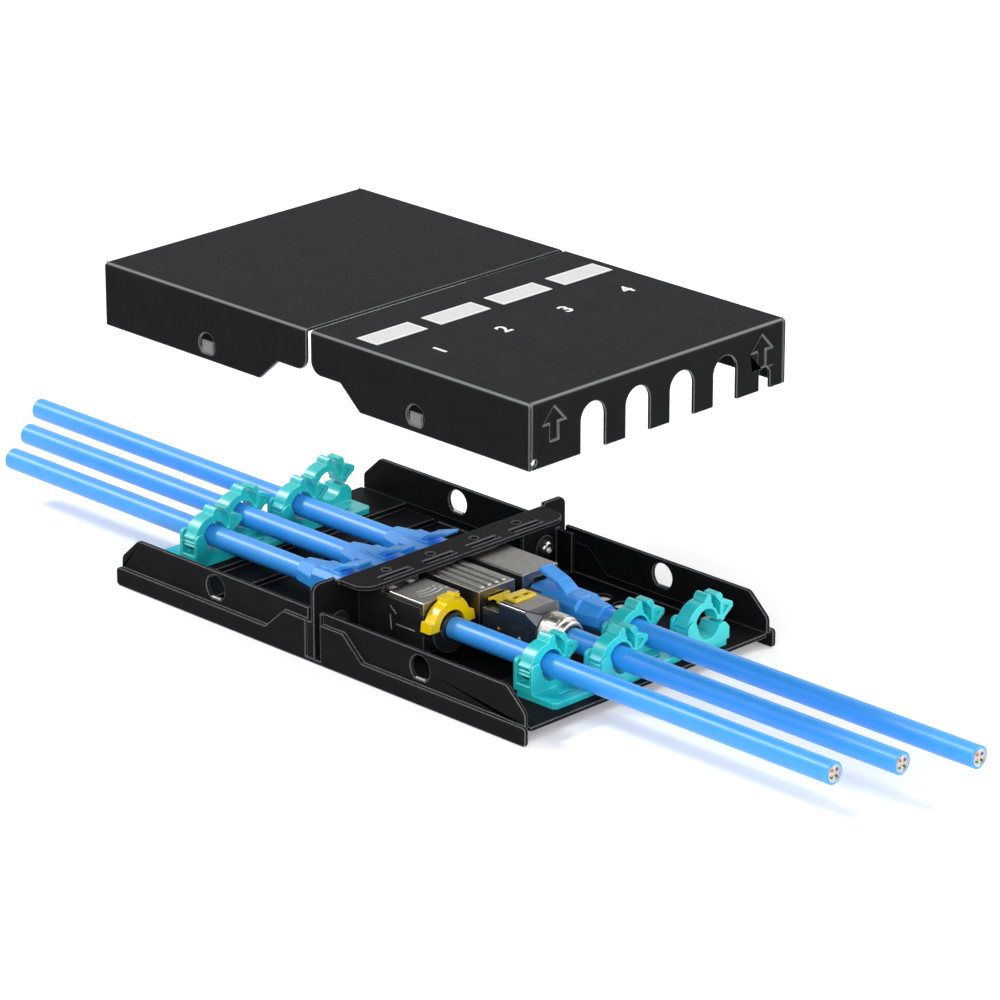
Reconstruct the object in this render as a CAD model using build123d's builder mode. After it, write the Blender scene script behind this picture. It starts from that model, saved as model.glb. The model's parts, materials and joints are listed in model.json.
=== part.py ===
from build123d import *
from math import asin, cos, degrees, radians, sin
import os

os.makedirs("parts", exist_ok=True)

# Tray: one folded sheet, flat in the middle, stepped up at both ends
tray_length = 200.0
tray_width = 120.0
sheet = 1.5
ledge_height = 5.6
step_inner_x = 61.0
step_outer_x = 75.5
ledge_setback = 1.0
wall_height = 18.5
skirt_low = 6.6
skirt_high = 14.6
shoulder_x = 14.5
shoulder_run = 9.2
wall_end_chamfer_x = 8.5
wall_end_chamfer_z = 7.8
wall_setback = 1.5
joggle_overlap = 1.4
divider_slot_half = 3.6
ledge_gap = 0.7
skirt_corner_radius = 1.4
wall_corner_radius = 3.0

# D-shaped latch windows in the side walls and covers
latch_x = 50.0
latch_z = 12.4
latch_radius = 4.6
latch_flat_drop = 4.0
tongue_height = 4.4
tongue_width = 5.2
recess_depth = 0.8
tongue_proud = 0.5

# Screw holes in the floor, in pairs
floor_hole_x = 35.0
floor_hole_pair = 10.0
floor_hole_wall_distance = 8.7
floor_hole_diameter = 6.5

# Ports
port_count = 4
port_pitch = 20.6
axis_height = 15.4
jack_width = 17.0
jack_height = 18.4
jack_clearance = 0.2
jack_shoulder = 0.6
nose_length = 2.2

# Divider bracket
ear_rise = 1.0
port_headroom = 0.9
flange_depth = 12.8
flange_end_setback = 11.5
flange_corner_radius = 6.0
bend_radius = 1.2
ear_corner_radius = 3.0
side_tab_depth = 7.5
side_tab_top = 17.0
side_tab_bottom = 2.2
slot_tab_width = 2.2
marker_hole_diameter = 3.0
marker_hole_x = 5.4
marker_slot_length = 14.0
marker_slot_width = 2.4
marker_slot_x = 10.0

# Divider screws
screw_place_share = 6 / 11
screw_z = 11.5
screw_radius = 1.5
screw_head_radius = 2.7
screw_head_height = 1.9
screw_recess_radius = 1.3
screw_recess_depth = 1.1
washer_radius = 4.6
washer_thickness = 1.0
nut_across_flats = 5.5
nut_thickness = 2.2
screw_hole_clearance = 0.1
nut_bore_clearance = 0.05

# Cables
cable_diameter = 7.8
left_cable_ends = (-190.0, -206.0, -224.0)
right_cable_ends = (206.0, 216.0, 230.0)

# Plugs and their moulded boots
plug_width = 11.6
plug_height = 8.1
plug_depth = 11.0
plug_clearance = 0.15
plug_tail = 5.4
boot_gap = 0.4
boot_width = 12.8
boot_height = 10.6
boot_length = 22.0
boot_neck_length = 9.0
boot_neck_radius = 5.0
boot_chamfer = 2.0
boot_pad_width = 6.0
boot_pad_height = 0.5
boot_lever_width = 6.4
boot_lever_thickness = 1.3
boot_pad_run = 6.5
boot_lever_knee_run = 4.5
boot_lever_knee_height = 8.4
boot_lever_tip = 1.6
boot_lever_tip_height = 11.4
socket_depth = 13.0
latch_channel_width = 6.6
latch_channel_height = 2.4

# Toolless jack in port 1
jack_1_end = 32.0
cap_length = 16.5
cap_thickness = 1.2
cap_skirt_depth = 0.8
cap_hood_drop = 3.0
cap_tab_length = 3.2
cap_tab_width = 3.0
cap_tab_y = (-5.2, 3.0)
gland_length = 6.0
gland_radius = 5.0
saddle_wall = 4.0
clamp_inner_clearance = 0.9
clamp_wall = 3.2
clamp_width = 4.6
clamp_gap = 0.6
clamp_tab_width = 3.8
clamp_tab_height = 1.5
clamp_lip_radius = 10.4
clamp_lip_wall = 1.2
clamp_lip_width = 2.6

# Couplers in ports 2 and 3
coupler_end = 37.5
coupler_rib_width = 1.7
coupler_rib_height = 0.6
coupler_rib_count = 4

# Field plug in port 2
field_plug_gap = 0.8
field_plug_length = 24.5
field_plug_width = 16.0
field_plug_height = 15.8
field_step_length = 7.7
field_step_drop = 3.8
field_plug_taper = 4.3
field_plug_bevel = 0.8
throat_width = 13.0
field_cap_thickness = 1.4
field_cap_width = 13.0
field_latch_width = 9.6
field_latch_thickness = 1.0
field_latch_foot = 5.2
field_latch_rail = 1.5
field_latch_dip = 1.6
collar_length = 7.6
collar_radius = 6.9
collar_facet_count = 12
field_gland_length = 2.2
field_gland_radius = 5.9
gland_lip = 0.5

# Ratchet cable clips
clip_bore_diameter = 10.4
clip_wall = 1.9
clip_width = 8.4
clip_cheek = 1.1
clip_thumb_thickness = 1.4
clip_side_clearance = 0.15
clip_foot_length = 19.0
clip_foot_width = 20.0
clip_foot_thickness = 2.2
clip_foot_corner = 1.5
clip_even_x = 77.2
clip_odd_x = {-1: 79.5, 1: 75.8}
clip_hinge_y = 8.0
clip_hinge_radius = 1.1
clip_hinge_clearance = 0.3
clip_rear_y = 10.0
clip_front_y = 10.2
clip_pocket_y = 7.0
clip_pocket_floor = 2.5
clip_shoulder_top = 2.6
clip_shoulder_radius = 2.8
clip_thumb_top = 3.5
clip_thumb_depth = 4.2
clip_tongue_inset = 0.3
clip_tongue_drop = 2.4
clip_tooth = 0.6
clip_tooth_count = 3
clip_seat_gap = 0.3
clip_slot_length = 6.0
clip_slot_width = 1.4
clip_bow_shift = 0.8
clip_bow_radius = 8.6
clip_tab_rise = 3.0
clip_tab_thickness = 2.2
clip_lever_y = 6.8
clip_lever_tip_y = 7.4
clip_groove_wall = 0.9
clip_lug_reach = 12.9
clip_lug_top = 6.1
clip_lug_tip = 3.6
clip_lug_rim = 0.8
clip_lug_pocket_depth = 1.2

# Covers
cover_sheet = 1.2
cover_clearance = 0.3
cover_seam = 2.1
cover_height = 29.8
cover_skirt_gap = 0.4
cover_lift = 88.0
cover_end_gap = 0.3
cover_bend_radius = 1.6
cover_seam_corner_radius = 4.6
cover_window_radius = 4.0
cover_window_flat_drop = 3.2
arch_diameter = 11.2
arch_top_drop = 6.4
end_hole_diameter = 2.2
end_notch_width = 5.2
end_notch_drop = 15.0
end_notch_side_distance = 10.0
arrow_side_distance = 11.4
arrow_apex_drop = 3.4
arrow_head_height = 5.6
arrow_head_half_width = 5.2
arrow_stem_half_width = 1.9
arrow_stem_height = 6.0
arrow_depth = 0.6
corner_line_width = 0.3
corner_line_depth = 0.4

# Label fields on the right cover
end_margin = 2.0
label_spacing = 6.0
label_width = 9.6
label_thickness = 0.25
label_x = 22.5

lanes = [port_pitch * (port - (port_count - 1) / 2) for port in range(port_count)]
tray_half = tray_length / 2
outer_y = tray_width / 2
joggle_y = outer_y - sheet
wall_inner_y = joggle_y - sheet
ledge_half_width = wall_inner_y - ledge_gap
plate_half = sheet / 2
shoulder_out_x = shoulder_x + shoulder_run
cable_radius = cable_diameter / 2
bore_radius = clip_bore_diameter / 2
ring_radius = bore_radius + clip_wall
coupler_bottom = axis_height - jack_height / 2
coupler_top = axis_height + jack_height / 2
foot_bottom = ledge_height - axis_height
foot_top = foot_bottom + clip_foot_thickness
flange_height = coupler_top + port_headroom + sheet
divider_height = flange_height + ear_rise
flange_half_length = outer_y - flange_end_setback
jack_side_y = lanes[-1] + jack_width / 2
screw_y = jack_side_y + screw_place_share * (wall_inner_y - jack_side_y)
boot_lever_root = boot_length - boot_pad_run
boot_lever_knee = boot_lever_root - boot_lever_knee_run
floor_hole_y = wall_inner_y - floor_hole_wall_distance
end_notch_y = outer_y - end_notch_side_distance
arrow_y = outer_y - arrow_side_distance
label_pitch = (tray_width - 2 * end_margin) / port_count
label_length = label_pitch - label_spacing


def side_plane(y):
    """A plane facing the front, at the given distance along Y."""
    return Plane(origin=(0, y, 0), x_dir=(1, 0, 0), z_dir=(0, -1, 0))


def end_plane(x, y=0.0, z=0.0):
    """A plane facing +X, centred on the given point."""
    return Plane(origin=(x, y, z), x_dir=(0, 1, 0), z_dir=(1, 0, 0))


def outward_plane(x, y, z, side):
    """A plane across a lane, facing away from the divider on the given side."""
    return Plane(origin=(x, y, z), x_dir=(0, 1, 0), z_dir=(side, 0, 0))


def save(piece, name):
    """Label a finished piece and write it as one STEP file."""
    piece.part.label = name
    export_step(piece.part, "parts/" + name + ".step")


def floor_outline():
    """Section of the floor along X: flat middle, two rising steps to each end ledge."""
    end = tray_half - ledge_setback
    step_rise = (ledge_height - sheet) / 2
    mid_top = sheet + step_rise
    right_top = [
        (step_inner_x, sheet),
        (step_inner_x, mid_top),
        (step_outer_x, mid_top),
        (step_outer_x, ledge_height),
        (end, ledge_height),
    ]
    right_bottom = [
        (end, ledge_height - sheet),
        (step_outer_x + sheet, ledge_height - sheet),
        (step_outer_x + sheet, mid_top - sheet),
        (step_inner_x + sheet, mid_top - sheet),
        (step_inner_x + sheet, 0),
    ]
    right = right_top + right_bottom
    left = [(-x, z) for x, z in reversed(right)]
    return right + left


def skirt_outline(side, base):
    """Outline of one skirt half: low at the end, high beside the divider."""
    return [
        (side * divider_slot_half, base),
        (side * tray_half, base),
        (side * tray_half, skirt_low),
        (side * shoulder_out_x, skirt_low),
        (side * shoulder_x, skirt_high),
        (side * divider_slot_half, skirt_high),
    ]


def wall_outline(side):
    """Outline of one inner wall half: it overlaps the skirt along the joggle line."""
    end = tray_half - wall_setback
    return [
        (side * divider_slot_half, skirt_high - joggle_overlap),
        (side * shoulder_x, skirt_high - joggle_overlap),
        (side * shoulder_out_x, skirt_low - joggle_overlap),
        (side * end, skirt_low - joggle_overlap),
        (side * end, wall_height - wall_end_chamfer_z),
        (side * (end - wall_end_chamfer_x), wall_height),
        (side * divider_slot_half, wall_height),
    ]


# Base tray
with BuildPart() as base_tray:
    with BuildSketch(side_plane(ledge_half_width)):
        with BuildLine():
            Polyline(*floor_outline(), close=True)
        make_face()
    extrude(amount=2 * ledge_half_width)
    with BuildSketch(Plane.XY):
        Rectangle(2 * step_inner_x, tray_width)
    extrude(amount=sheet)
    for side in (-1, 1):
        for front in (-1, 1):
            skirt_face = outer_y if front > 0 else -joggle_y
            wall_face = joggle_y if front > 0 else -wall_inner_y
            with BuildSketch(side_plane(skirt_face)) as skirt:
                with BuildLine():
                    Polyline(*skirt_outline(side, 0), close=True)
                make_face()
                fillet(skirt.vertices().sort_by(Axis.X)[:: -side][:2], skirt_corner_radius)
            extrude(amount=sheet)
            with BuildSketch(side_plane(wall_face)) as wall:
                with BuildLine():
                    Polyline(*wall_outline(side), close=True)
                make_face()
                wall_corners = wall.vertices().filter_by_position(
                    Axis.Y, wall_height - wall_end_chamfer_z - 0.01, wall_height + 0.01
                )
                fillet(wall_corners.sort_by(Axis.X)[:: -side][:2], wall_corner_radius)
            extrude(amount=sheet)
            with BuildSketch(side_plane(wall_face)):
                with Locations((side * latch_x, latch_z)):
                    Circle(latch_radius)
                with Locations((side * latch_x, latch_z - latch_flat_drop - latch_radius)):
                    Rectangle(2 * latch_radius, 2 * latch_radius, mode=Mode.SUBTRACT)
            extrude(amount=sheet, mode=Mode.SUBTRACT)
    hole_places = [
        (side_x * floor_hole_x + pair * floor_hole_pair / 2, side_y * floor_hole_y)
        for side_x in (-1, 1)
        for side_y in (-1, 1)
        for pair in (-1, 1)
    ]
    with BuildSketch(Plane.XY):
        with Locations(*hole_places):
            Circle(floor_hole_diameter / 2)
    extrude(amount=sheet, mode=Mode.SUBTRACT)
save(base_tray, "base_tray")

# Divider bracket: upright plate, top flange, wall tabs and the tabs that close the slots
with BuildPart() as divider_bracket:
    with BuildSketch(end_plane(-plate_half)) as upright:
        with BuildLine():
            Polyline(
                (-outer_y, sheet),
                (outer_y, sheet),
                (outer_y, divider_height),
                (flange_half_length + bend_radius, divider_height),
                (flange_half_length + bend_radius, flange_height),
                (-flange_half_length - bend_radius, flange_height),
                (-flange_half_length - bend_radius, divider_height),
                (-outer_y, divider_height),
                close=True,
            )
        make_face()
        ear_corners = upright.vertices().group_by(Axis.Y)[-1].sort_by(Axis.X)
        fillet([ear_corners[0], ear_corners[-1]], ear_corner_radius)
    extrude(amount=sheet)
    with BuildSketch(Plane.XY.offset(flange_height - sheet)) as flange:
        with Locations((-plate_half + flange_depth / 2 + plate_half, 0)):
            Rectangle(flange_depth + sheet, 2 * flange_half_length)
        fillet(flange.vertices().group_by(Axis.X)[-1], flange_corner_radius)
    extrude(amount=sheet)
    bend_edges = (
        divider_bracket.edges()
        .filter_by(Axis.Y)
        .filter_by_position(Axis.X, -plate_half - 0.01, -plate_half + 0.01)
        .filter_by_position(Axis.Z, flange_height - 0.01, flange_height + 0.01)
    )
    fillet(bend_edges, bend_radius)
    for front in (-1, 1):
        tab_y = front * (wall_inner_y - sheet / 2)
        with BuildSketch(Plane.XY.offset(side_tab_bottom)):
            with Locations((side_tab_depth / 2, tab_y)):
                Rectangle(side_tab_depth + sheet, sheet)
        extrude(amount=side_tab_top - side_tab_bottom)
        with BuildSketch(Plane.XY.offset(sheet)):
            with Locations((-slot_tab_width / 2, front * (outer_y - sheet / 2))):
                Rectangle(slot_tab_width + sheet, sheet)
        extrude(amount=skirt_high - sheet)
    with BuildSketch(end_plane(-plate_half)):
        with Locations(*[(lane, axis_height) for lane in lanes]):
            Rectangle(
                jack_width - 2 * jack_shoulder + 2 * jack_clearance,
                jack_height - 2 * jack_shoulder + 2 * jack_clearance,
            )
        with Locations((-screw_y, screw_z), (screw_y, screw_z)):
            Circle(screw_radius + screw_hole_clearance)
    extrude(amount=sheet, mode=Mode.SUBTRACT)
    with BuildSketch(Plane.XY.offset(flange_height - sheet)):
        with Locations(*[(marker_hole_x, lane) for lane in lanes]):
            Circle(marker_hole_diameter / 2)
        with Locations(*[(marker_slot_x, lane) for lane in lanes]):
            Rectangle(marker_slot_width, marker_slot_length)
    extrude(amount=sheet, mode=Mode.SUBTRACT)
save(divider_bracket, "divider_bracket")

# Divider screws with their washers and nuts
with BuildPart() as divider_washers:
    with BuildSketch(end_plane(plate_half)):
        with Locations((-screw_y, screw_z), (screw_y, screw_z)):
            Circle(washer_radius)
            Circle(screw_radius + screw_hole_clearance, mode=Mode.SUBTRACT)
    extrude(amount=washer_thickness)
save(divider_washers, "divider_washers")

with BuildPart() as divider_screws:
    head_x = plate_half + washer_thickness
    shank_end = -plate_half - nut_thickness - sheet
    with BuildSketch(end_plane(shank_end)):
        with Locations((-screw_y, screw_z), (screw_y, screw_z)):
            Circle(screw_radius)
    extrude(amount=head_x - shank_end)
    with BuildSketch(end_plane(head_x)):
        with Locations((-screw_y, screw_z), (screw_y, screw_z)):
            Circle(screw_head_radius)
    extrude(amount=screw_head_height)
    head_edges = divider_screws.faces().group_by(Axis.X)[-1].edges()
    chamfer(head_edges, screw_head_height / 3)
    with BuildSketch(end_plane(head_x + screw_head_height)):
        with Locations((-screw_y, screw_z), (screw_y, screw_z)):
            RegularPolygon(screw_recess_radius, 6)
    extrude(amount=-screw_recess_depth, mode=Mode.SUBTRACT)
save(divider_screws, "divider_screws")

with BuildPart() as divider_nuts:
    with BuildSketch(end_plane(-plate_half)):
        with Locations((-screw_y, screw_z), (screw_y, screw_z)):
            RegularPolygon(nut_across_flats / 2, 6, major_radius=False)
            Circle(screw_radius + nut_bore_clearance, mode=Mode.SUBTRACT)
    extrude(amount=-nut_thickness)
save(divider_nuts, "divider_nuts")


socket_face = -plate_half - nose_length
socket_width = plug_width + 2 * plug_clearance
socket_height = plug_height + 2 * plug_clearance

# Jack in port 1 and couplers in ports 2 and 3: each passes its nose through the divider
for port, body_end in ((1, jack_1_end), (2, coupler_end), (3, coupler_end)):
    lane = lanes[port - 1]
    with BuildPart() as jack:
        with BuildSketch(end_plane(socket_face, lane, axis_height)):
            Rectangle(jack_width - 2 * jack_shoulder, jack_height - 2 * jack_shoulder)
        extrude(amount=nose_length + 2 * plate_half)
        with BuildSketch(end_plane(plate_half, lane, axis_height)) as block:
            Rectangle(jack_width, jack_height)
            fillet(block.vertices(), jack_shoulder)
        extrude(amount=body_end - plate_half)
        openings = [(socket_face, 1)]
        if port > 1:
            openings.append((body_end, -1))
        for open_x, into in openings:
            with BuildSketch(outward_plane(open_x, lane, axis_height, into)):
                Rectangle(socket_width, socket_height)
            extrude(amount=socket_depth, mode=Mode.SUBTRACT)
            channel_z = axis_height + (plug_height + latch_channel_height) / 2
            with BuildSketch(outward_plane(open_x, lane, channel_z, into)):
                Rectangle(latch_channel_width, latch_channel_height + 2 * plug_clearance)
            extrude(amount=socket_depth, mode=Mode.SUBTRACT)
        if port == 1:
            with BuildSketch(end_plane(body_end - cap_length - cap_tab_length, lane, coupler_top)):
                with Locations((0, -cap_thickness / 2)):
                    Rectangle(jack_width, cap_thickness)
            extrude(amount=cap_length + cap_tab_length, mode=Mode.SUBTRACT)
            with BuildSketch(end_plane(body_end - cap_length, lane, coupler_top)):
                for flank in (-1, 1):
                    with Locations((flank * (jack_width - cap_thickness) / 2, 0)):
                        Rectangle(cap_thickness, 2 * (cap_thickness + cap_skirt_depth))
            extrude(amount=cap_length, mode=Mode.SUBTRACT)
            with BuildSketch(end_plane(body_end - cap_thickness, lane, coupler_top)):
                Rectangle(jack_width, 2 * (cap_thickness + cap_hood_drop))
            extrude(amount=cap_thickness, mode=Mode.SUBTRACT)
        if port == 2:
            rib_start = flange_depth + sheet
            rib_length = body_end - rib_start - sheet
            rib_step = jack_width / (coupler_rib_count + 1)
            rib_places = [
                (rib_start + rib_length / 2, lane + rib_step * (rib - (coupler_rib_count - 1) / 2))
                for rib in range(coupler_rib_count)
            ]
            with BuildSketch(Plane.XY.offset(coupler_top)):
                with Locations(*rib_places):
                    SlotOverall(rib_length, coupler_rib_width)
            extrude(amount=coupler_rib_height)
    save(jack, "jack_1_housing" if port == 1 else "coupler_" + str(port))

# Top cap, cable gland and clamp ring of the jack in port 1
clamp_bore = gland_radius + clamp_inner_clearance
clamp_outer = clamp_bore + clamp_wall
with BuildPart() as jack_1_cap:
    with BuildSketch(end_plane(jack_1_end - cap_length, lanes[0], coupler_top)) as cap:
        with Locations((0, -(cap_thickness + cap_skirt_depth) / 2)):
            Rectangle(jack_width, cap_thickness + cap_skirt_depth)
        fillet(cap.vertices().group_by(Axis.Y)[-1], jack_shoulder)
        with Locations((0, -cap_thickness - cap_skirt_depth / 2)):
            Rectangle(jack_width - 2 * cap_thickness, cap_skirt_depth, mode=Mode.SUBTRACT)
    extrude(amount=cap_length)
    with BuildSketch(end_plane(jack_1_end - cap_thickness, lanes[0], coupler_top)) as hood:
        with Locations((0, -(cap_thickness + cap_hood_drop) / 2)):
            Rectangle(jack_width, cap_thickness + cap_hood_drop)
        fillet(hood.vertices().group_by(Axis.Y)[-1], jack_shoulder)
    extrude(amount=cap_thickness)
    with BuildSketch(Plane.XY.offset(coupler_top - cap_thickness)):
        for tab_y in cap_tab_y:
            with Locations((jack_1_end - cap_length - cap_tab_length / 2, lanes[0] + tab_y)):
                Rectangle(cap_tab_length, cap_tab_width)
    extrude(amount=cap_thickness)
save(jack_1_cap, "jack_1_cap")

with BuildPart() as jack_1_gland:
    with BuildSketch(end_plane(jack_1_end, lanes[0], axis_height)):
        Circle(gland_radius)
    extrude(amount=gland_length)
    chamfer(jack_1_gland.faces().sort_by(Axis.X)[-1].edges(), clamp_gap)
    with BuildSketch(end_plane(jack_1_end, lanes[0], axis_height)):
        Circle(gland_radius + saddle_wall)
        with Locations((0, clamp_outer / 2)):
            Rectangle(3 * clamp_outer, clamp_outer, mode=Mode.SUBTRACT)
    extrude(amount=clamp_gap + clamp_width)
save(jack_1_gland, "jack_1_gland")

# The ring is a half hoop over the gland, with a wider lip at its rear
with BuildPart() as jack_1_clamp_ring:
    with BuildSketch(end_plane(jack_1_end + clamp_gap, lanes[0], axis_height)):
        Circle(clamp_outer)
        for turn in (95, 10, 170):
            tab_y = clamp_outer * cos(radians(turn))
            tab_z = clamp_outer * sin(radians(turn))
            with Locations((tab_y, tab_z)):
                Rectangle(clamp_tab_width, 2 * clamp_tab_height, rotation=turn - 90)
        Circle(clamp_bore, mode=Mode.SUBTRACT)
        with Locations((0, -clamp_outer)):
            Rectangle(3 * clamp_outer, 2 * clamp_outer, mode=Mode.SUBTRACT)
    extrude(amount=clamp_width)
    with BuildSketch(end_plane(jack_1_end + clamp_gap, lanes[0], axis_height)):
        Circle(clamp_lip_radius)
        Circle(clamp_lip_radius - clamp_lip_wall, mode=Mode.SUBTRACT)
        for turn in (70, 6):
            web_radius = (clamp_outer + clamp_lip_radius) / 2
            with Locations((web_radius * cos(radians(turn)), web_radius * sin(radians(turn)))):
                Rectangle(clamp_tab_width, 2 * clamp_tab_height, rotation=turn - 90)
        with Locations((0, -clamp_lip_radius)):
            Rectangle(3 * clamp_lip_radius, 2 * clamp_lip_radius, mode=Mode.SUBTRACT)
        with Locations((-clamp_lip_radius, 0)):
            Rectangle(2 * clamp_lip_radius, 3 * clamp_lip_radius, mode=Mode.SUBTRACT)
    extrude(amount=clamp_lip_width)
save(jack_1_clamp_ring, "jack_1_clamp_ring")

# Field plug in port 2: stepped body, top cap, latch frame, collar and cable sleeve
field_x = coupler_end + field_plug_gap
field_end = field_x + field_plug_length
field_top = axis_height + field_plug_height / 2
field_step_x = field_x + field_step_length
with BuildPart() as field_plug_body:
    with BuildSketch(end_plane(field_x, lanes[1], axis_height)):
        Rectangle(plug_width, plug_height)
    extrude(amount=-plug_depth)
    with BuildSketch(end_plane(field_x, lanes[1], axis_height)) as block:
        Rectangle(field_plug_width, field_plug_height)
        chamfer(block.vertices(), field_plug_bevel)
    extrude(amount=field_plug_length - field_plug_taper)
    with BuildSketch(end_plane(field_x, lanes[1], field_top)):
        Rectangle(field_plug_width, 2 * field_step_drop)
    extrude(amount=field_step_length, mode=Mode.SUBTRACT)
    with BuildSketch(end_plane(field_end - field_plug_taper, lanes[1], axis_height)) as block:
        Rectangle(field_plug_width, field_plug_height)
        chamfer(block.vertices(), field_plug_bevel)
    with BuildSketch(end_plane(field_end, lanes[1], axis_height)) as throat:
        Rectangle(throat_width, throat_width)
        chamfer(throat.vertices(), throat_width / 4)
    loft(ruled=True)
    with BuildSketch(end_plane(field_step_x + field_latch_foot, lanes[1], field_top)):
        Rectangle(field_cap_width, 2 * field_cap_thickness)
    extrude(amount=field_end - field_plug_taper - field_step_x - field_latch_foot, mode=Mode.SUBTRACT)
save(field_plug_body, "field_plug_body")

with BuildPart() as field_plug_cap:
    cap_start = field_step_x + field_latch_foot
    with BuildSketch(Plane.XY.offset(field_top - field_cap_thickness)) as plan:
        with Locations(((cap_start + field_end - field_plug_taper) / 2, lanes[1])):
            Rectangle(field_end - field_plug_taper - cap_start, field_cap_width)
    extrude(amount=field_cap_thickness)
save(field_plug_cap, "field_plug_cap")

# The latch frame stands on the body and reaches down to the coupler's edge
with BuildPart() as field_plug_latch:
    latch_x0 = field_x - field_plug_gap / 2
    latch_end = field_step_x + field_latch_foot
    latch_low = field_top - field_latch_dip
    with BuildSketch(side_plane(lanes[1] + field_latch_width / 2)):
        with BuildLine():
            Polyline(
                (latch_x0, latch_low - field_latch_thickness),
                (field_step_x - field_latch_rail, latch_low - field_latch_thickness),
                (field_step_x, field_top),
                (latch_end, field_top),
                (latch_end, field_top + field_latch_thickness),
                (field_step_x - field_latch_rail / 2, field_top + field_latch_thickness),
                (field_step_x - 2 * field_latch_rail, latch_low),
                (latch_x0, latch_low),
                close=True,
            )
        make_face()
    extrude(amount=field_latch_width)
    foot_mid = (field_step_x + latch_end) / 2
    arm_mid = (latch_x0 + field_step_x) / 2
    half_gap = (field_latch_width / 2 - 2 * field_latch_rail) / 2
    with BuildSketch(Plane.XY.offset(latch_low - 2 * field_latch_thickness)):
        for flank in (-1, 1):
            with Locations((foot_mid, lanes[1] + flank * field_latch_width / 4)):
                Rectangle(field_latch_foot - 2 * field_latch_rail, field_latch_width / 2 - field_latch_rail)
            with Locations((arm_mid - field_latch_rail, lanes[1] + flank * field_latch_width / 2)):
                Rectangle(field_step_length - 3 * field_latch_rail, 2 * field_latch_rail)
        with Locations((arm_mid, lanes[1])):
            Rectangle(field_step_length - 2 * field_latch_rail, half_gap * 2)
    extrude(amount=field_latch_dip + 4 * field_latch_thickness, mode=Mode.SUBTRACT)
save(field_plug_latch, "field_plug_latch")

with BuildPart() as field_plug_collar:
    with BuildSketch(end_plane(field_end, lanes[1], axis_height)):
        Circle(collar_radius)
    extrude(amount=collar_length / 4)
    with BuildSketch(end_plane(field_end + collar_length / 4, lanes[1], axis_height)):
        RegularPolygon(collar_radius, collar_facet_count)
    extrude(amount=3 * collar_length / 4)
    chamfer(field_plug_collar.faces().sort_by(Axis.X)[-1].edges(), clamp_gap)
save(field_plug_collar, "field_plug_collar")

gland_x = field_end + collar_length
with BuildPart() as field_plug_gland:
    with BuildSketch(side_plane(lanes[1])):
        with BuildLine():
            Polyline(
                (gland_x, axis_height),
                (gland_x, axis_height + field_gland_radius),
                (gland_x + field_gland_length - gland_lip, axis_height + field_gland_radius),
                (gland_x + field_gland_length, axis_height + field_gland_radius - gland_lip),
                (gland_x + field_gland_length, axis_height),
                close=True,
            )
        make_face()
    revolve(axis=Axis((0, lanes[1], axis_height), (1, 0, 0)))
save(field_plug_gland, "field_plug_gland")

# Moulded plugs and boots of the patch cords
patch_cords = [("left_" + str(port), lanes[port - 1], socket_face, -1) for port in (1, 2, 3)]
patch_cords.append(("right_3", lanes[2], coupler_end, 1))

for name, lane, face, side in patch_cords:
    with BuildPart() as plug:
        with BuildSketch(outward_plane(face - side * plug_depth, lane, axis_height, side)):
            Rectangle(plug_width, plug_height)
        extrude(amount=plug_depth + plug_tail)
        tail_edges = plug.faces().sort_by(Axis.X)[0 if side > 0 else -1].edges()
        chamfer(tail_edges, jack_shoulder)
    save(plug, "plug_" + name)

    start = face + side * boot_gap
    with BuildPart() as boot:
        with BuildSketch(outward_plane(start, lane, axis_height, side)) as body:
            Rectangle(boot_width, boot_height)
            chamfer(body.vertices(), boot_chamfer)
        extrude(amount=boot_length)
        pad_start = start + side * (boot_lever_root - boot_pad_height)
        with BuildSketch(Plane.XY.offset(axis_height + boot_height / 2 - boot_pad_height)):
            with Locations((pad_start + side * (boot_length - boot_lever_root) / 2, lane)):
                SlotOverall(boot_length - boot_lever_root + boot_pad_height, boot_pad_width)
        extrude(amount=2 * boot_pad_height)
        neck_start = start + side * boot_length
        with BuildSketch(outward_plane(neck_start, lane, axis_height, side)) as root:
            Rectangle(boot_width, boot_height)
            chamfer(root.vertices(), boot_height / 3)
        neck_end = neck_start + side * boot_neck_length
        with BuildSketch(outward_plane(neck_end, lane, axis_height, side)):
            RegularPolygon(boot_neck_radius, 8, rotation=22.5)
        loft()
        lever = [
            (boot_lever_root, boot_height / 2 - boot_chamfer),
            (boot_lever_root, boot_height / 2),
            (boot_lever_knee, boot_lever_knee_height),
            (boot_lever_tip, boot_lever_tip_height),
            (boot_lever_tip, boot_lever_tip_height - boot_lever_thickness),
            (boot_lever_knee - 1, boot_lever_knee_height - boot_lever_thickness),
            (boot_lever_root - 4, boot_height / 2 - boot_chamfer),
        ]
        with BuildSketch(side_plane(lane + boot_lever_width / 2)):
            with BuildLine():
                Polyline(*[(start + side * s, axis_height + h) for s, h in lever], close=True)
            make_face()
        extrude(amount=boot_lever_width)
        with BuildSketch(outward_plane(start, lane, axis_height, side)):
            Rectangle(plug_width + 2 * plug_clearance, plug_height + 2 * plug_clearance)
        extrude(amount=plug_tail, mode=Mode.SUBTRACT)
    save(boot, "boot_" + name)

# Cables, each a straight run held taut by its clip
boot_end = boot_gap + boot_length + boot_neck_length
cable_runs = [
    ("cable_left_" + str(port), lanes[port - 1], socket_face - boot_end, left_cable_ends[port - 1])
    for port in (1, 2, 3)
]
cable_runs.append(
    ("cable_right_1", lanes[0], jack_1_end + gland_length, right_cable_ends[0])
)
cable_runs.append(
    ("cable_right_2", lanes[1], gland_x + field_gland_length, right_cable_ends[1])
)
cable_runs.append(("cable_right_3", lanes[2], coupler_end + boot_end, right_cable_ends[2]))

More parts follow.
